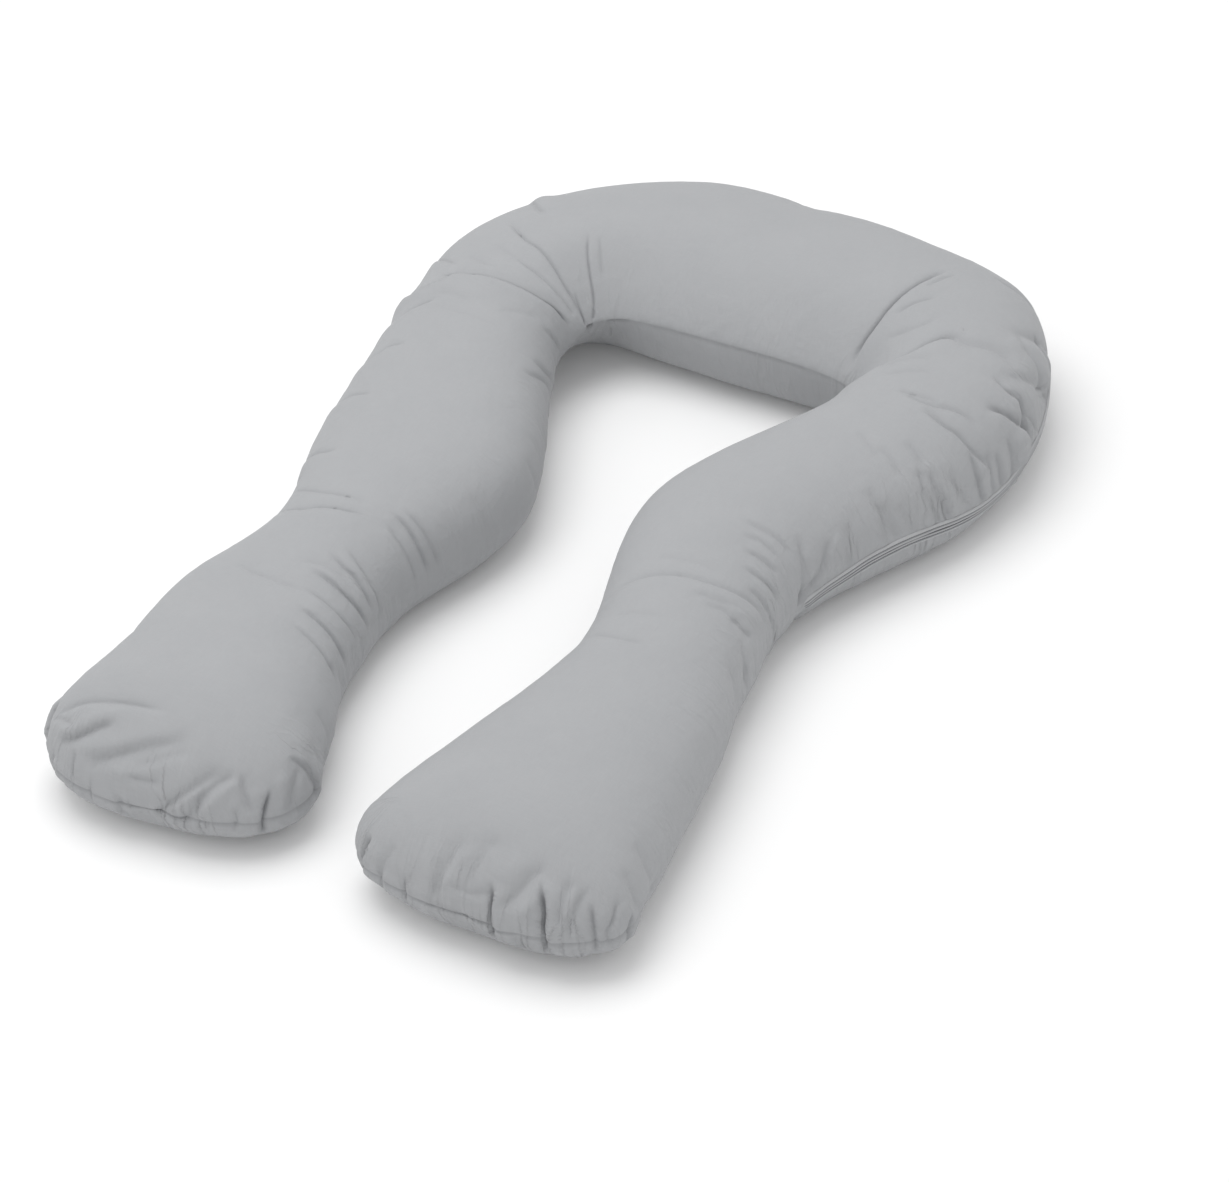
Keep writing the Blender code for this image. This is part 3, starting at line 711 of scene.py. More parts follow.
leftFootFolds = foldRows("both", (
    (3.6, 8, -1.8, (-372, -576, 98), (-350, -582, 112), (-326, -578, 127), (-297, -575, 138),
     (-266, -572, 144), (-232, -569, 147), (-205, -566, 148)),
    (3.4, 7, -1.2, (-368, -584, 94), (-341, -595, 110), (-318, -601, 116)),
    (4.6, 9, -1.6, (-262, -592, 132), (-284, -600, 126), (-301, -607, 116), (-320, -612, 104),
     (-346, -611, 88)),
    (5.6, 12, 0, (-160, -578, 138), (-190, -592, 131), (-216, -604, 125), (-246, -617, 112),
     (-279, -627, 97), (-306, -629, 84)),
    (-3, 9, 0, (-180, -580, 140), (-215, -594, 132), (-246, -606, 122), (-293, -619, 104),
     (-318, -620, 92)),
    (-2.2, 6, 0, (-255, -584, 140), (-290, -592, 131), (-318, -602, 114), (-350, -604, 94)),
    (3.2, 8, 0, (-160, -592, 127), (-182, -605, 120), (-204, -616, 111), (-232, -625, 100)),
    (-2, 6, 0, (-175, -609, 115), (-200, -620, 106), (-226, -628, 96), (-262, -632, 88)),
    (2.2, 5, 0, (-189, -625, 95), (-208, -629, 92), (-236, -631, 92)),
    (5.2, 9, 0, "end", (-197, -637, 54), (-183, -634, 68), (-168, -628, 82), (-152, -618, 95),
     (-136, -605, 108), (-120, -590, 118)),
    (-3, 6, 0, (-182, -636, 58), (-166, -631, 74), (-150, -622, 88), (-134, -608, 102)),
    (4.8, 8, 0, "end", (-160, -631, 55), (-147, -627, 70), (-136, -618, 87), (-122, -605, 100),
     (-106, -588, 112)),
    (-2.4, 6, 0, (-140, -628, 60), (-128, -620, 78), (-114, -606, 94), (-102, -590, 106)),
    (3, 6, 0, (-104, -588, 110), (-95, -599, 90), (-84, -603, 66)),
    (6, 4.5, -2.4, (-74, -578, 92), (-76, -592, 72), (-79, -598, 50), (-84, -592, 26)),
    (3, 5, 1, (-105, -608, 78), (-102, -612, 62), (-107, -614, 44)),
    (3.6, 6.5, 2.6, (-70, -549, 112), (-62, -541, 104), (-52, -532, 84), (-50, -529, 62), (-52, -532, 38)),
    (3.4, 8, 0, (-60, -540, 98), (-57, -560, 79), (-58, -574, 56)),
    (-2.6, 5, 0, (-70, -560, 104), (-64, -572, 84), (-66, -582, 60)),
    (7.5, 6, -4.6, (-372, -560, 104), (-379, -572, 92), (-377, -585, 79), (-374, -595, 66)),
    (3, 5, 1.4, (-309, -620, 98), (-312, -629, 82), (-310, -634, 60)),
    (2.6, 6, -1.2, (-240, -636, 68), (-246, -640, 56), (-246, -633, 28)),
    (3.6, 6, 1.5, (-345, -610, 76), (-350, -612, 54), (-344, -604, 26)),
    (3.4, 6, 1.5, (-284, -634, 70), (-288, -636, 52), (-282, -628, 26)),
    (1.8, 8, 0, (-70, -535, 122), (-58, -522, 106), (-50, -512, 84)),
    (1.8, 8, 0, (-66, -500, 105), (-60, -500, 88), (-54, -505, 70)),
    (1.8, 8, 0, (-82, -455, 110), (-76, -458, 90), (-74, -462, 66)),
    (2, 9, 0, (-121, -370, 106), (-115, -366, 76), (-119, -361, 46)),
    (2.4, 9, 0, (-380, -545, 62), (-384, -530, 92), (-372, -520, 122)),
))

rightFootFolds = foldRows("both", (
    (6.5, 5, 3, (82, -602, 98), (73, -611, 78), (68, -613, 60), (68, -606, 34)),
    (4.6, 11, 0, (206, -594, 138), (193, -606, 125), (187, -620, 110), (182, -630, 94), (179, -637, 75),
     (178, -640, 58)),
    (-2.6, 9, 0, (222, -600, 134), (208, -614, 118), (200, -626, 100), (197, -635, 80)),
    (3.8, 10, 0, (244, -584, 141), (228, -600, 131), (222, -614, 118), (218, -626, 104), (217, -634, 88)),
    (8, 5, 4.4, (246, -622, 110), (249, -632, 94), (251, -641, 70), (253, -641, 48), (252, -634, 26)),
    (3.2, 8, 0, (196, -630, 92), (222, -634, 89), (246, -630, 97)),
    (5.4, 10, 0, (304, -594, 130), (292, -606, 121), (282, -620, 108), (272, -630, 96), (258, -638, 80)),
    (-3.2, 7, 0, (314, -606, 118), (304, -620, 104), (292, -632, 88), (277, -638, 74)),
    (-2.4, 8, 0, (276, -596, 134), (264, -610, 122), (256, -622, 108)),
    (8, 5, 4.4, (302, -608, 118), (309, -622, 100), (314, -634, 76), (316, -637, 58), (314, -630, 28)),
    (3.8, 8, 0, (332, -592, 122), (328, -608, 108), (328, -622, 92), (326, -630, 74)),
    (-2.4, 6, 0, (340, -598, 116), (338, -612, 100), (336, -624, 82)),
    (3.4, 7, 0, (350, -590, 116), (346, -608, 101), (342, -624, 80), (342, -629, 60)),
    (4.6, 5, 2, (358, -600, 102), (364, -612, 80), (367, -618, 59), (364, -614, 34)),
    (3.4, 6, 1.2, (376, -580, 98), (379, -596, 81), (377, -607, 70), (378, -606, 48)),
    (3.4, 5, 1.6, (389, -572, 76), (390, -585, 55), (385, -580, 30)),
    (4, 7, 1.6, (140, -628, 84), (136, -632, 60), (138, -624, 28)),
    (3.4, 7, 1.5, (104, -622, 76), (100, -624, 56), (104, -616, 28)),
    (3.6, 8, 0, (282, -640, 60), (284, -638, 44), (280, -630, 22)),
    (2.4, 9, 0, (120, -612, 104), (108, -618, 84), (104, -620, 64)),
    (2, 8, 0, (50, -560, 104), (42, -563, 80), (44, -560, 52)),
    (2, 9, 0, (62, -500, 108), (54, -506, 82), (56, -508, 54)),
    (2.4, 9, 0, (380, -520, 60), (384, -518, 92), (368, -512, 124)),
    (2.4, 9, 0, (395, -560, 60), (392, -556, 94), (376, -552, 122)),
))

folds = leftShoulderFolds + rightShoulderFolds + zipSideFolds + armFolds + leftFootFolds + rightFootFolds

folding = {
    "fadeShare": 0.25,      # of the path at an end that dies away
    "traceStep": 3,         # mm
    "deepest": 16,          # mm
    "lippedWidth": 0.8,     # of a trough beside a ridge, as a share of the fold's width
    "ridgeWidth": 1.5,      # the same, of the ridge's near side
    "tailWidth": 2.2,       # the same, of the slopes that run out on both sides
    "tailExtra": 4,         # mm more for these
    "slopeShare": 0.28,     # of the depth that the slopes take
    "drawnIn": 0.42,        # how far the cloth beside a fold comes in towards it
    "overhang": 0.2,        # how far the ridge leans over the trough, as a share of its height
    "fullShadeDepth": 5,       # mm, of a fold whose trough gets the whole painted shade colour
    "shadeWidth": 4,       # mm, a wider fold gets paler painted shade and a narrower one darker
    # the most painted shade a point can get
    "mostShade": 2,
    # splits of the mesh near the folds: widths, mm more, least lip and least depth for the width
    "splits": ((1.5, 3.5, 0, 0), (0.9, 1.2, 1.5, 0), (0.9, 1.2, 3.2, 1.2)),
}

# where the cover is most gathered: a point in mm, how far it reaches and how strongly
gathers = (
    (-225, 385, 70, 75, 0.9),
    (-180, 230, 80, 70, 0.5),
    (-400, 270, 90, 110, 0.5),
    (-340, 500, 90, 120, 0.5),
    (185, 350, 90, 70, 0.5),
    (410, 380, 100, 130, 0.9),
    (400, 200, 100, 110, 0.9),
    (345, 80, 95, 100, 0.9),
    (300, -20, 90, 110, 1.0),
    (310, -160, 90, 100, 0.7),
    (120, -220, 80, 80, 0.4),
    (-135, -270, 80, 110, 0.8),
    (-330, -190, 80, 100, 0.4),
    (-60, -540, 80, 100, 0.7),
    (-130, -620, 70, 120, 0.8),
    (-300, -620, 80, 130, 0.8),
    (60, -590, 70, 90, 0.6),
    (220, -640, 70, 120, 0.7),
    (340, -620, 70, 120, 0.8),
    (-60, 380, 90, 120, 0.35),
)

gathering = {
    "waves": (
        # height in mm, length along the seam, reach in from the seam, share of sharp ridges
        (1.3, 14, 34, 0.5),
        (1.8, 27, 95, 0.7),
        (1.9, 62, 150, 0.2),
    ),
    "crest": (60, 118),     # mm from the seam where the gathers start to die away, and where they are gone
    "resting": 0.3,         # the gather away from the gathered places
    "bellyMore": 0.8,       # how much more the bottom panel is gathered
    # how far in from the seam the cloth run's ripples reach, in mm, and least shares of them
    "looseCloth": (95, 0.25, 0.1),
    "pullReach": 110,       # mm in from the seam
    "seed": 11,
}

seamStyle = {
    "depth": 1.8,           # mm, of the groove where the two panels meet
    "width": 2.2,
    "swell": 0.9,           # mm, how far the cloth beside the seam stands out
    "swellWidth": 9,
    "seamShadeWidth": 1.5,
    "line": 0.15,           # how dark the painted shade along the seam's groove is
    "footSeamShade": 0.2,        # how much darker that painted shade is at the feet
    "flat": 0.85,           # how much flatter the seam lies along the arms and the crown
    "behind": 0.75,         # how full it is on the outer side behind the zip
    "feet": (8.2, 8.8),     # stations between which the flat seam gives way to the feet's
    "seamShadeFeet": (8.2, 8.9),
    "behindEnds": (1.6, 2.2),
    "zipStarts": (2.2, 2.5),
    "zipEnds": (5.0, 5.2),
}


def tableToFrame(path):
    return (np.array(path, float) + np.array(pillow["tableZero"])) * mm


def pathOnSurface(path, tree):
    # evenly spaced points of a smooth curve through the path, drawn onto the surface
    given = tableToFrame(path)
    fine = curveThrough(given, np.linspace(0, len(given) - 1, 24 * len(given)))
    lengths = lengthsAlong(fine)
    count = max(4, int(round(lengths[-1] / (folding["traceStep"] * mm))))
    even = pointsAt(np.linspace(0, lengths[-1], count + 1), lengths, fine)
    return np.array([tree.find_nearest(Vector(p))[0] for p in even])


def fading(fold, count):
    share = np.linspace(0, 1, count)
    fade = np.ones(count)
    if fold.fades in ("both", "start"):
        fade *= np.clip(share / folding["fadeShare"], 0, 1)
    if fold.fades in ("both", "end"):
        fade *= np.clip((1 - share) / folding["fadeShare"], 0, 1)
    return smoothStep(fade)


def besideTrace(points, trace):
    # distance of each point from a traced line, where along it, and the offset from it
    best = np.full(len(points), np.inf)
    where = np.zeros(len(points))
    offset = np.zeros_like(points)
    heading = np.zeros_like(points)
    for index, (start, end) in enumerate(zip(trace, trace[1:])):
        leg = end - start
        t = np.clip((points - start) @ leg / max(leg @ leg, 1e-12), 0, 1)
        away = points - start - t[:, None] * leg
        gap = np.linalg.norm(away, axis=1)
        nearer = gap < best
        best[nearer] = gap[nearer]
        where[nearer] = index + t[nearer]
        offset[nearer] = away[nearer]
        heading[nearer] = leg / max(np.linalg.norm(leg), 1e-9)
    return best, where, offset, heading


def nearbyPoints(points, trace, reach):
    return np.flatnonzero(((points > trace.min(0) - reach) & (points < trace.max(0) + reach)).all(axis=1))


def besideFolds(points, traces, widths, margin, leastLip, steepest):
    # true for the points that the slopes of the folds with such a lip and steepness run through
    close = np.zeros(len(points), bool)
    for fold, trace in zip(folds, traces):
        if abs(fold.lip) < leastLip or abs(fold.depth) < steepest * fold.width:
            continue
        reach = (fold.width * widths + margin) * mm
        near = nearbyPoints(points, trace, reach)
        if len(near):
            close[near] |= besideTrace(points[near], trace)[0] < reach
    return close


def foldProfile(fold, across, side):
    # height over the filled surface; side counts from the fold's middle towards its ridge
    width = fold.width * mm * (folding["lippedWidth"] if fold.lip else 1)
    reach = (folding["tailWidth"] * fold.width + folding["tailExtra"]) * mm
    ridgeWidth = folding["ridgeWidth"] * width
    trough = bell(across, width)
    if not fold.lip:
        return -fold.depth * trough, trough, trough * 0
    slope = bell(np.minimum(side, 0), reach) * bell(np.maximum(side, 0), 0.6 * width)
    ridge = easedStep(side, 0, ridgeWidth) * bell(np.maximum(side - ridgeWidth, 0), reach)
    share = folding["slopeShare"]
    return abs(fold.lip) * ridge - fold.depth * ((1 - share) * trough + share * slope), trough, ridge


def addFolds(base, normals, traces):
    raised = np.zeros(len(base))
    moved = np.zeros_like(base)
    paintedShade = np.zeros(len(base))
    for fold, trace in zip(folds, traces):
        width = fold.width * mm
        fade = fading(fold, len(trace))
        near = nearbyPoints(base, trace, width * 5 + 12 * mm)
        gap, where, offset, heading = besideTrace(base[near], trace)
        strength = np.interp(where, np.arange(len(fade)), fade)
        aside = np.cross(normals[near], heading)
        beside = np.einsum("ij,ij->i", aside, offset)
        across = np.sign(beside) * gap
        lean = np.sign(fold.lip)
        height, trough, ridge = foldProfile(fold, across, across * (lean or 1))
        raised[near] += strength * height * mm
        # the ridge leans over the trough, and the cloth is drawn in towards the fold
        pinch = folding["drawnIn"] * bell(gap, 1.7 * width) * (fold.depth > 0)
        leaning = ridge * bell(gap, 2.5 * width) * abs(fold.lip) * folding["overhang"] * mm * -lean
        moved[near] += aside * (strength * (leaning - beside * pinch))[:, None]
        # painted shade in the fold's trough, more for deeper and narrower folds
        darkness = max(fold.depth, 0) / folding["fullShadeDepth"]
        darkness *= min(folding["shadeWidth"] / fold.width, 1.2) ** 2.5
        paintedShade[near] += strength * trough ** (fold.width / 3) * darkness
    deepest = folding["deepest"] * mm
    raised = np.where(raised < 0, deepest * np.tanh(raised / deepest), raised)
    return base + normals * raised[:, None] + moved, np.clip(paintedShade, 0, folding["mostShade"])


def latticeNoise(u, v, seed, period):
    # smooth noise, about -1 to 1, that repeats along u after a whole number of cells
    table = np.random.default_rng(seed).uniform(-1, 1, (period, 64))
    i = np.floor(u).astype(int)
    j = np.floor(v).astype(int)
    s = smoothStep(u - i)
    t = smoothStep(v - j)
    corner = [[table[(i + a) % period, (j + b) % 64] for b in (0, 1)] for a in (0, 1)]
    return ((corner[0][0] * (1 - s) + corner[1][0] * s) * (1 - t)
            + (corner[0][1] * (1 - s) + corner[1][1] * s) * t)


def seamPlaces(base):
    # for each point, how far it is from the one seam round the side and where along the seam that is
    fine = np.linspace(-last - 1, last + 1, 6001)
    outer = filledSurface(fine, np.full(len(fine), math.pi))
    inner = filledSurface(fine[-2:0:-1], np.zeros(len(fine) - 2))
    closed = np.concatenate([outer, inner, outer[:1]])
    lengths = lengthsAlong(closed)
    count = int(lengths[-1] / (2 * mm))
    places = np.arange(count) / count * lengths[-1]
    finder = KDTree(count)
    for index, point in enumerate(pointsAt(places, lengths, closed)):
        finder.insert(point, index)
    finder.balance()
    found = [finder.find(p) for p in base]
    distance = np.array([f[2] for f in found])
    along = places[[f[1] for f in found]]
    return distance, along, lengths[-1]


def gatherStrength(points):
    strength = np.full(len(points), gathering["resting"])
    for x, y, z, reach, most in gathers:
        far = np.linalg.norm(points - tableToFrame((x, y, z)), axis=1)
        strength = np.maximum(strength, most * bell(far, reach * mm))
    return strength


def offCrest(distance):
    # the two sides' gathers both die away before they meet
    start, end = gathering["crest"]
    return 1 - easedStep(distance, start * mm, end * mm)


def seamFullness(stationAt, angleAt):
    # the seam lies almost flat but for the feet and the pillow's outer side behind the zip
    outer = np.cos(angleAt) < 0
    start, end = seamStyle["feet"]
    sewn = 1 - seamStyle["flat"] * easedStep(-np.abs(stationAt), -end, -start)
    behind = outer * (1 - easedStep(stationAt, *seamStyle["behindEnds"]))
    sewn = np.maximum(sewn, seamStyle["behind"] * behind)
    zipStarted = easedStep(stationAt, *seamStyle["zipStarts"])
    zipEnded = easedStep(stationAt, *seamStyle["zipEnds"])
    return sewn * (1 - outer * zipStarted * (1 - zipEnded))


def addGathers(points, normals, distance, along, around, strength, sewn):
    raised = np.zeros(len(points))
    for index, (height, length, reach, sharp) in enumerate(gathering["waves"]):
        period = int(round(around / (length * mm)))
        u = along / around * period
        v = distance / (2.5 * reach * mm)
        wave = latticeNoise(u, v + 7, gathering["seed"] + index, period)
        wave = 0.7 * wave + 0.3 * latticeNoise(2 * u, v + 21, gathering["seed"] + index + 9, 2 * period)
        ridges = 1.6 * (1 - np.abs(wave)) ** 4 - 0.3
        fade = bell(distance, reach * mm) * np.clip(distance / (0.12 * reach * mm), 0.25, 1)
        raised += height * mm * strength * fade * offCrest(distance) * (wave * (1 - sharp) + ridges * sharp)
    groove = bell(distance, seamStyle["width"] * mm)
    swell = bell(distance - seamStyle["swellWidth"] * mm, 0.7 * seamStyle["swellWidth"] * mm)
    raised += sewn * (seamStyle["swell"] * swell - seamStyle["depth"] * groove) * mm
    return points + normals * raised[:, None]


# ---- cloth

settling = {
    "frames": 20,
    "pressure": 4.0,
    "spareCloth": 1.05,     # the cover is cut this much longer than the filling it lies on
    "quality": 3,
    "mass": 0.25,
    "bending": 0.6,
    "stretch": 30,
    "shear": 8,
    "lying": 0.5,           # mm, what lies lower than this stays where it is
    "cap": 7,               # mm
    "smoothing": 26,
    "rowsKept": 2,          # the cloth settles on every second row
}


def smoothed(grid, times):
    # averages a field over the rows and columns of the body
    for _ in range(times):
        rolled = (np.roll(grid, 1, 1) + np.roll(grid, -1, 1)) / 2
        padded = np.concatenate([grid[:1], grid, grid[-1:]])
        grid = (rolled + (padded[2:] + padded[:-2]) / 2) / 2
    return grid


def plainMeshOf(thing):
    return bpy.data.meshes.new_from_object(thing.evaluated_get(bpy.context.evaluated_depsgraph_get()))


def settledCloth(lattice):
    # how a cover with spare cloth ripples over the filled form
    base = lattice.points()
    cover = placed("coverCloth", newMesh("coverCloth", base, lattice.faces()))
    cover.shape_key_add(name="Basis")
    cut = cover.shape_key_add(name="cut")
    cut.data.foreach_set("co", lattice.points(settling["spareCloth"]).astype(np.float32).ravel())
    lying = cover.vertex_groups.new(name="lying")
    lying.add(np.flatnonzero(base[:, 2] < settling["lying"] * mm).tolist(), 1.0, "REPLACE")
    cloth = cover.modifiers.new("cloth", "CLOTH")
    rules = cloth.settings
    rules.quality = settling["quality"]
    rules.mass = settling["mass"]
    rules.bending_model = "ANGULAR"
    rules.bending_stiffness = settling["bending"]
    rules.tension_stiffness = settling["stretch"]
    rules.compression_stiffness = settling["stretch"]
    rules.shear_stiffness = settling["shear"]
    rules.use_pressure = True
    rules.uniform_pressure_force = settling["pressure"]
    rules.effector_weights.gravity = 0
    rules.rest_shape_key = cut
    rules.vertex_group_mass = "lying"
    cloth.collision_settings.use_collision = False
    cloth.collision_settings.use_self_collision = False
    cloth.point_cache.frame_start = 1
    cloth.point_cache.frame_end = settling["frames"]
    for step in range(1, settling["frames"] + 1):
        scene.frame_set(step)
    settledMesh = plainMeshOf(cover)
    settled = readAll(settledMesh.vertices, "co", 3)
    scene.frame_set(1)
    bpy.data.objects.remove(cover)
    bpy.data.meshes.remove(settledMesh)
    moved = lattice.closedRows(settled - base)[:, :-1]
    ripple = moved - smoothed(moved, settling["smoothing"])
    size = np.linalg.norm(ripple, axis=2, keepdims=True)
    print("cloth settled, ripples", round(float(size.mean() / mm), 2), "mm, at most",
          round(float(size.max() / mm), 2))
    ripple = ripple * np.minimum(size, settling["cap"] * mm) / np.maximum(size, 1e-9)
    return np.concatenate([ripple, ripple[:, :1]], 1)


def clothMap(lattice):
    # where each panel's points lie on the flat cloth, across the tube from its middle line
    grid = lattice.closedRows(lattice.points())
    flat = []
    for panel in (grid[:, :lattice.top + 1], grid[:, lattice.top:]):
        steps = np.linalg.norm(np.diff(panel, axis=1), axis=2)
        arc = np.concatenate([np.zeros((lattice.rows, 1)), np.cumsum(steps, axis=1)], 1)
        arc -= arc[:, -1:] / 2
        middle = (panel[:, 0, :2] + panel[:, -1, :2]) / 2
        across = unit(panel[:, -1, :2] - panel[:, 0, :2])
        flat.append(middle[:, None] + across[:, None] * arc[..., None])
    return flat


def writeMaps(mesh, lattice, stationAt, angleAt, distance, along):
    # UV maps in metres: the flat cloth, and distances along and in from the seam
    topFlat, bottomFlat = clothMap(lattice)
    corners = readCounts(mesh.loops, "vertex_index")
    starts = readCounts(mesh.polygons, "loop_start")
    sizes = np.diff(np.append(starts, len(corners)))
    face = np.repeat(np.arange(len(sizes)), sizes)
    # a face belongs to the bottom panel when it lies past the outer seam
    bottom = (np.add.reduceat(np.sin(angleAt[corners]), starts) < 0)[face]
    station = stationAt[corners]
    angle = angleAt[corners]
    angle = np.where(bottom & (angle < math.pi / 2), angle + 2 * math.pi, angle)
    angle = np.where(~bottom & (angle > 1.5 * math.pi), 0, angle)
    flatTop = lattice.read(topFlat, station, np.clip(angle, 0, math.pi))
    flatBottom = lattice.read(bottomFlat, station, np.clip(angle, math.pi, 2 * math.pi), lattice.top)
    writeMap(mesh, "cloth", np.where(bottom[:, None], flatBottom, flatTop))
    beside = np.stack([along[corners], distance[corners]], 1)
    # where the seam's count starts again, the corners of one face keep together
    spread = np.maximum.reduceat(beside[:, 0], starts) - np.minimum.reduceat(beside[:, 0], starts)
    beside[(spread[face] > 0.5) & (beside[:, 0] < 0.5), 0] += along.max()
    writeMap(mesh, "seam", beside)


def splitFaces(mesh, chosen):
    # splits the faces whose corners are all chosen in four, and fits their neighbours to them
    work = bmesh.new()
    work.from_mesh(mesh)
    edges = [edge for edge in work.edges if chosen[edge.verts[0].index] and chosen[edge.verts[1].index]]
    bmesh.ops.subdivide_edges(work, edges=edges, cuts=1, use_grid_fill=True, use_single_edge=True)
    work.to_mesh(mesh)
    work.free()


def placeOnForm(mesh):
    station, sine, cosine = (readAll(mesh.attributes[name].data, "value", 1)[:, 0]
                             for name in ("station", "sine", "cosine"))
    angle = np.arctan2(sine, cosine) % (2 * math.pi)
    points = filledSurface(station, angle)
    setPoints(mesh, points)
    return points, station, angle


def splitMesh(lattice, traces):
    # the lattice, split near the seam and ever finer near the sharper folds; each point stays on the form
    base = lattice.points()
    mesh = newMesh("pillowCover", base, lattice.faces())
    writeAttribute(mesh, "station", lattice.stationAt)
    tips = np.arange(len(base)) >= lattice.rows * lattice.columns
    writeAttribute(mesh, "cosine", np.where(tips, 0, np.cos(lattice.angleAt)))
    writeAttribute(mesh, "sine", np.where(tips, 0, np.sin(lattice.angleAt)))
    chosen = seamPlaces(base)[0] < pillow["seamRefining"] * mm
    chosen &= base[:, 2] > pillow["unrefinedHeight"] * mm
    for limits in folding["splits"]:
        splitFaces(mesh, chosen | besideFolds(base, traces, *limits))
        base, stationAt, angleAt = placeOnForm(mesh)
        chosen = False
    for name in ("station", "cosine", "sine"):
        mesh.attributes.remove(mesh.attributes[name])
    mesh.shade_smooth()
    triangles = sum(len(p.vertices) - 2 for p in mesh.polygons)
    print("pillow form:", lattice.rows, "rows,", triangles, "triangles")
    return mesh, base, stationAt, angleAt


def makePillow(finish):
    lattice = Lattice(bodyStations(), bodyAngles())
    tree = BVHTree.FromPolygons(lattice.points().tolist(), lattice.faces())
    traces = [pathOnSurface(fold.path, tree) for fold in folds]
    mesh, base, stationAt, angleAt = splitMesh(lattice, traces)
    normals = readAll(mesh.vertices, "normal", 3)
    distance, along, around = seamPlaces(base)
    strength = gatherStrength(base) * (1 + gathering["bellyMore"] * easedStep(-np.sin(angleAt), 0, 0.2))
    shaped = base.copy()
    coarse = Lattice(lattice.stations[::settling["rowsKept"]], lattice.angles)
    ripple = coarse.read(settledCloth(coarse), stationAt, angleAt)
    width, nearLeast, least = gathering["looseCloth"]
    reach = np.clip(nearLeast + strength, 0, 1) * bell(distance, width * mm)
    shaped += ripple * np.clip(reach + least, 0, 1)[:, None]
    sewn = seamFullness(stationAt, angleAt)
    shaped = addGathers(shaped, normals, distance, along, around, strength, sewn)
    folded, paintedShade = addFolds(base, normals, traces)
    shaped += folded - base
    # beside the zip the cover lies smooth
    parting = zipFrames(4)[0]
    near = nearbyPoints(base, parting, zipLips["calmLooked"] * mm)
    smooth, whole = zipLips["calm"]
    calm = easedStep(besideTrace(base[near], parting)[0], smooth * mm, whole * mm)[:, None]
    shaped[near] = base[near] + (shaped[near] - base[near]) * calm
    shaped[base[:, 2] <= 0, 2] = 0
    shaped[:, 2] = np.maximum(shaped[:, 2], 0)
    setPoints(mesh, shaped)
    writeMaps(mesh, lattice, stationAt, angleAt, distance, along)
    fadeIn = bell(distance, gathering["pullReach"] * mm) * offCrest(distance)
    writeAttribute(mesh, "gather", np.clip(strength * fadeIn + 0.5 * paintedShade, 0, 1))
    # a thin line of painted shade along the seam's groove, stronger at the feet, joins the folds' painted
    # shade
    line = seamStyle["line"] + seamStyle["footSeamShade"] * easedStep(np.abs(stationAt), *seamStyle["seamShadeFeet"])
    paintedShade = np.maximum(paintedShade, line * sewn * bell(distance, seamStyle["seamShadeWidth"] * mm))
    writeAttribute(mesh, "paintedShadeAmount", paintedShade)
    mesh.materials.append(finish)
    print("pillow shaped")
    return placed("pillowCover", mesh)


# ---- the zip: two folded lips of cloth and their topstitching

# where the lips meet: station, and angle round the section in degrees, 180 at the outer seam, more below it
zipLine = ((2.3, 186), (2.9, 190), (3.3, 190), (3.6, 194), (3.88, 194), (4.11, 190), (4.28, 186),
           (4.45, 184), (4.62, 185), (4.8, 189), (5.1, 192))

zipLips = {
    "rowLength": 2.4,       # mm
    "seat": 0.15,           # mm above the cover
    "tail": 16,             # mm at each end where a lip sinks into the gathered cloth
    "sink": 2.4,
    "pinch": 0.4,           # how much a lip narrows there
    "lowering": 0.5,        # and how much lower its ridges are
    "sway": 0.5,            # mm
    "swayLength": 38,
    "seed": 5,
    # mm from the parting, and mm above the cover
    "profile": ((0.2, 0.1), (0.3, 1.1), (0.9, 1.9), (1.9, 2.2), (2.9, 2.0), (3.7, 1.4), (4.3, 0.7),
                (4.8, 0.55), (5.3, 0.8), (5.9, 1.6), (6.7, 2.2), (7.7, 2.2), (8.6, 1.6), (9.3, 0.7),
                (9.6, 0.1)),
    "dark": ((4.8, 1.1), (0, 0.9)),   # mm from the parting where painted shade darkens the lips most, and how wide
    "gather": 0.15,
    "calm": (8.5, 17),      # mm from the parting: nearer the cover is smooth, farther its folds are whole
    "calmLooked": 30,       # mm from the parting in which the cover's points are looked at
    "probe": 40,            # mm over the form from which the cover's height is felt for
    "flatWidth": 10.8,      # mm, a lip's cloth laid flat
}

stitches = {
    "pitch": 3.2 * mm,
    "length": 2.5 * mm,
    "thickness": 0.6 * mm,
    "place": 4.8,           # mm from the parting
    "height": 0.75,         # mm above the cover
    "guideStep": 1.6,       # mm
}


def zipFrames(rowLength):
    # points of the filled form along the parting, with the outward and upward directions there
    rows = np.array([(station, math.radians(angle)) for station, angle in zipLine])
    fine = curveThrough(rows, np.linspace(0, len(rows) - 1, 400))
    tilt = math.radians(4)
    line, above, below = (filledSurface(fine[:, 0], fine[:, 1] + turn) for turn in (0, -tilt, tilt))
    lengths = lengthsAlong(line)
    even = np.linspace(0, lengths[-1], int(round(lengths[-1] / (rowLength * mm))) + 1)
    line, upward = (pointsAt(even, lengths, values) for values in (line, above - below))
    heading = unit(np.gradient(line, axis=0))
    outward = unit(np.cross(upward, heading))
    return line, outward, np.cross(heading, outward), even


def coverHeights(tree, line, outward, upward, spreads):
    # how far the cover stands out from the filled form under each point of a lip
    reach = zipLips["probe"] * mm
    heights = np.zeros((len(line), len(spreads)))
    for row, (point, out, up) in enumerate(zip(line, outward, upward)):
        for column, spread in enumerate(spreads):
            hit = tree.ray_cast(Vector(point + up * spread + out * reach), Vector(-out), 2 * reach)[0]
            heights[row, column] = (np.array(hit) - point) @ out if hit else heights[row - 1, column]
    return heights


def lipSway(even, side):
    wave = latticeNoise(even / (zipLips["swayLength"] * mm), even * 0 + 3 * side, zipLips["seed"], 64)
    return wave * zipLips["sway"] * mm


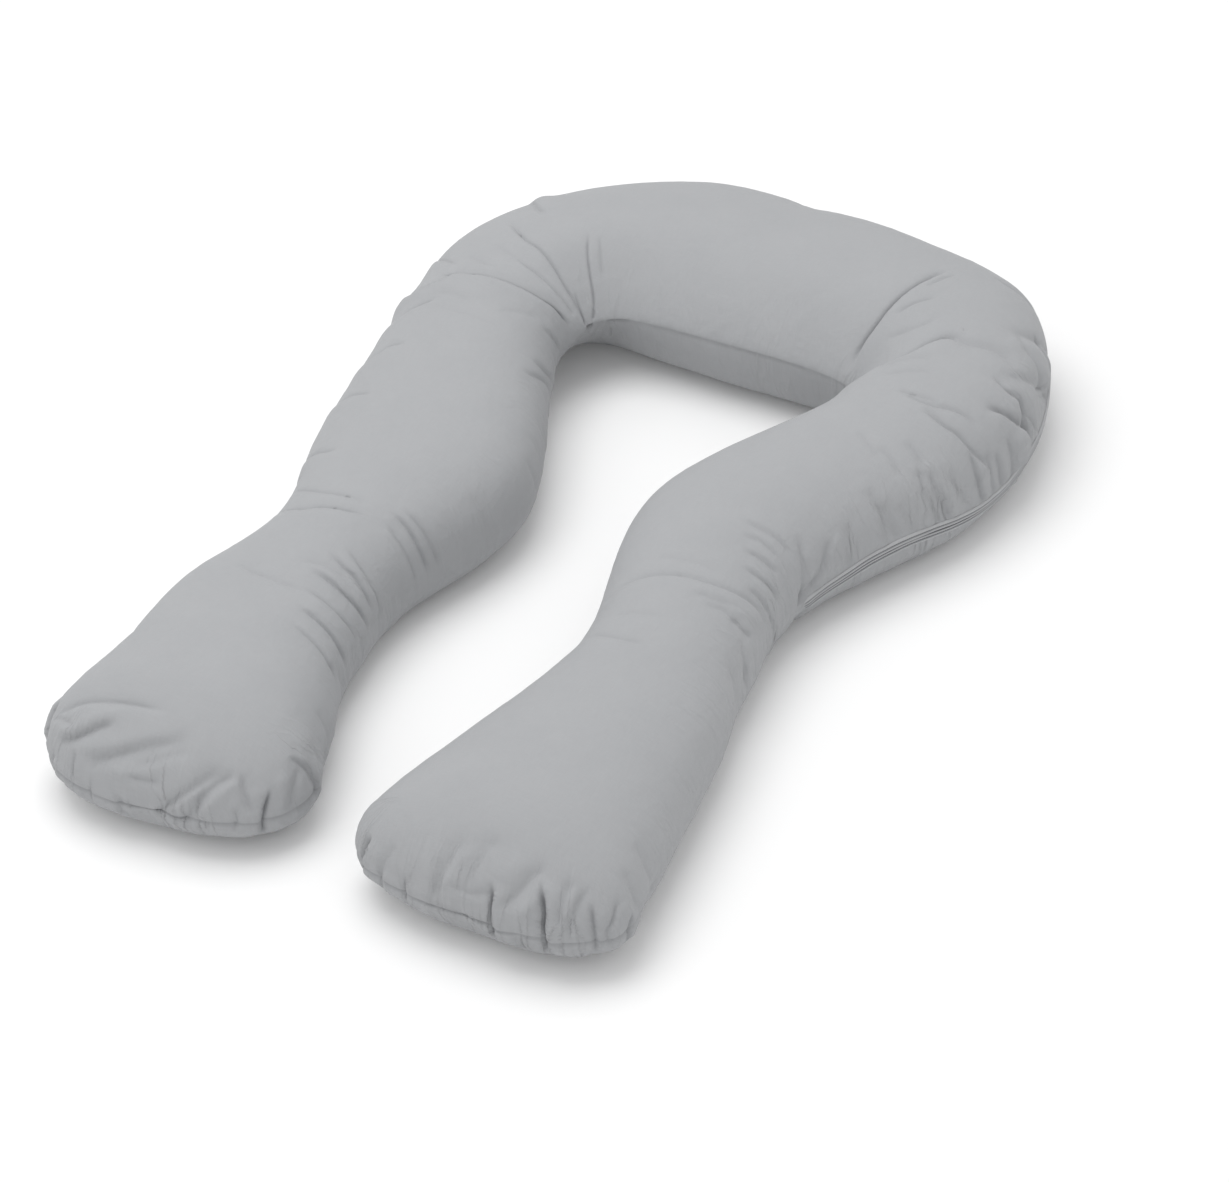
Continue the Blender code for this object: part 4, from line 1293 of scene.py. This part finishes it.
def makeLip(name, tree, side, finish):
    line, outward, upward, even = zipFrames(zipLips["rowLength"])
    profile = np.array(zipLips["profile"]) * mm
    place = profile[:, 0]
    under = coverHeights(tree, line, outward, upward, side * place)
    tuck = 1 - easedStep(np.minimum(even, even[-1] - even), 0, zipLips["tail"] * mm)[:, None]
    seat = under + (zipLips["seat"] - zipLips["sink"] * tuck) * mm
    top = seat + profile[:, 1] * (1 - zipLips["lowering"] * tuck)
    spread = side * place * (1 - zipLips["pinch"] * tuck) + lipSway(even, side)[:, None]
    flat = line[:, None] + upward[:, None] * spread[..., None]
    ring = np.concatenate([flat + outward[:, None] * top[..., None],
                           (flat + outward[:, None] * seat[..., None])[:, ::-1]], 1)
    rows, columns = ring.shape[:2]
    quads = tubeFaces(rows, columns)
    ends = [list(range(columns)), list(range(rows * columns - 1, (rows - 1) * columns - 1, -1))]
    if side > 0:
        quads = quads[:, ::-1]
        ends = [end[::-1] for end in ends]
    mesh = newMesh(name, ring.reshape(-1, 3), quads.tolist() + ends)
    corners = readCounts(mesh.loops, "vertex_index")
    across = np.concatenate([place, place[::-1]]) * side
    writeMap(mesh, "cloth", np.stack([even[corners // columns], across[corners % columns]], 1))
    # painted shade in the groove between each lip's ridges and at the parting, and full painted shade on the
    # lips' undersides
    dark = np.max([bell(place - middle * mm, width * mm) for middle, width in zipLips["dark"]], axis=0)
    writeAttribute(mesh, "paintedShadeAmount", np.tile(np.concatenate([dark, np.ones(len(place))]), rows))
    writeAttribute(mesh, "gather", np.full(rows * columns, zipLips["gather"]))
    mesh.materials.append(finish)
    return placed(name, mesh), even[-1]


def stitchTree():
    tree = bpy.data.node_groups.new("stitchRow", "GeometryNodeTree")
    for name, way, kind in (("Geometry", "INPUT", "Geometry"), ("Pitch", "INPUT", "Float"),
                            ("Length", "INPUT", "Float"), ("Thickness", "INPUT", "Float"),
                            ("Thread", "INPUT", "Material"), ("Geometry", "OUTPUT", "Geometry")):
        tree.interface.new_socket(name, in_out=way, socket_type="NodeSocket" + kind)
    given, curve, spaced, bead, size, heading, turned, stitch, realized, painted, made = (
        tree.nodes.new(kind) for kind in (
            "NodeGroupInput", "GeometryNodeMeshToCurve", "GeometryNodeResampleCurve",
            "GeometryNodeMeshUVSphere", "ShaderNodeCombineXYZ", "GeometryNodeInputTangent",
            "FunctionNodeAlignRotationToVector", "GeometryNodeInstanceOnPoints",
            "GeometryNodeRealizeInstances", "GeometryNodeSetMaterial", "NodeGroupOutput"))
    spaced.mode = "LENGTH"
    turned.axis = "Z"
    setSockets(bead, {"Segments": 6, "Rings": 4, "Radius": 0.5})
    for source, output, target, entry in (
            (given, "Geometry", curve, "Mesh"), (curve, "Curve", spaced, "Curve"),
            (given, "Pitch", spaced, "Length"), (given, "Length", size, "Z"),
            (given, "Thickness", size, "X"), (given, "Thickness", size, "Y"),
            (heading, "Tangent", turned, "Vector"), (spaced, "Curve", stitch, "Points"),
            (bead, "Mesh", stitch, "Instance"), (turned, "Rotation", stitch, "Rotation"),
            (size, "Vector", stitch, "Scale"), (stitch, "Instances", realized, "Geometry"),
            (realized, "Geometry", painted, "Geometry"), (given, "Thread", painted, "Material"),
            (painted, "Geometry", made, "Geometry")):
        tree.links.new(source.outputs[output], target.inputs[entry])
    return tree


def makeStitches(name, tree, side, nodes, finish):
    line, outward, upward, even = zipFrames(stitches["guideStep"])
    spread = side * stitches["place"] * mm
    height = coverHeights(tree, line, outward, upward, [spread])[:, 0] + stitches["height"] * mm
    points = line + upward * (spread + lipSway(even, side))[:, None] + outward * height[:, None]
    points = points[np.minimum(even, even[-1] - even) > zipLips["tail"] * mm]
    row = bpy.data.meshes.new(name + "Row")
    row.from_pydata(points.tolist(), [(i, i + 1) for i in range(len(points) - 1)], [])
    guide = placed(name + "Row", row)
    repeat = guide.modifiers.new("stitchRow", "NODES")
    repeat.node_group = nodes
    values = {"Pitch": stitches["pitch"], "Length": stitches["length"], "Thickness": stitches["thickness"],
              "Thread": finish}
    for item in nodes.interface.items_tree:
        if item.in_out == "INPUT" and item.name in values:
            repeat[item.identifier] = values[item.name]
    mesh = plainMeshOf(guide)
    bpy.data.objects.remove(guide)
    mesh.name = name
    mesh.shade_smooth()
    return placed(name, mesh)


# ---- build

makeCamera()
makeStudio(floorMaterial())
cover = makePillow(cottonMaterial("cottonCover"))
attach(cover, "root")
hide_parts("pillow")

placket = cottonMaterial("placketCotton", zipCotton)
coverTree = BVHTree.FromPolygons(readAll(cover.data.vertices, "co", 3).tolist(),
                                 [list(p.vertices) for p in cover.data.polygons])
nodes = stitchTree()
for side, end, node in ((1, "Upper", "zip_lip_upper"), (-1, "Lower", "zip_lip_lower")):
    lip, length = makeLip("zipLip" + end, coverTree, side, placket)
    row = makeStitches("zipStitches" + end, coverTree, side, nodes, threadMaterial())
    for piece in (lip, row):
        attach(piece, "root")
    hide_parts(node)
print("zip laid,", round(length / mm), "mm long")
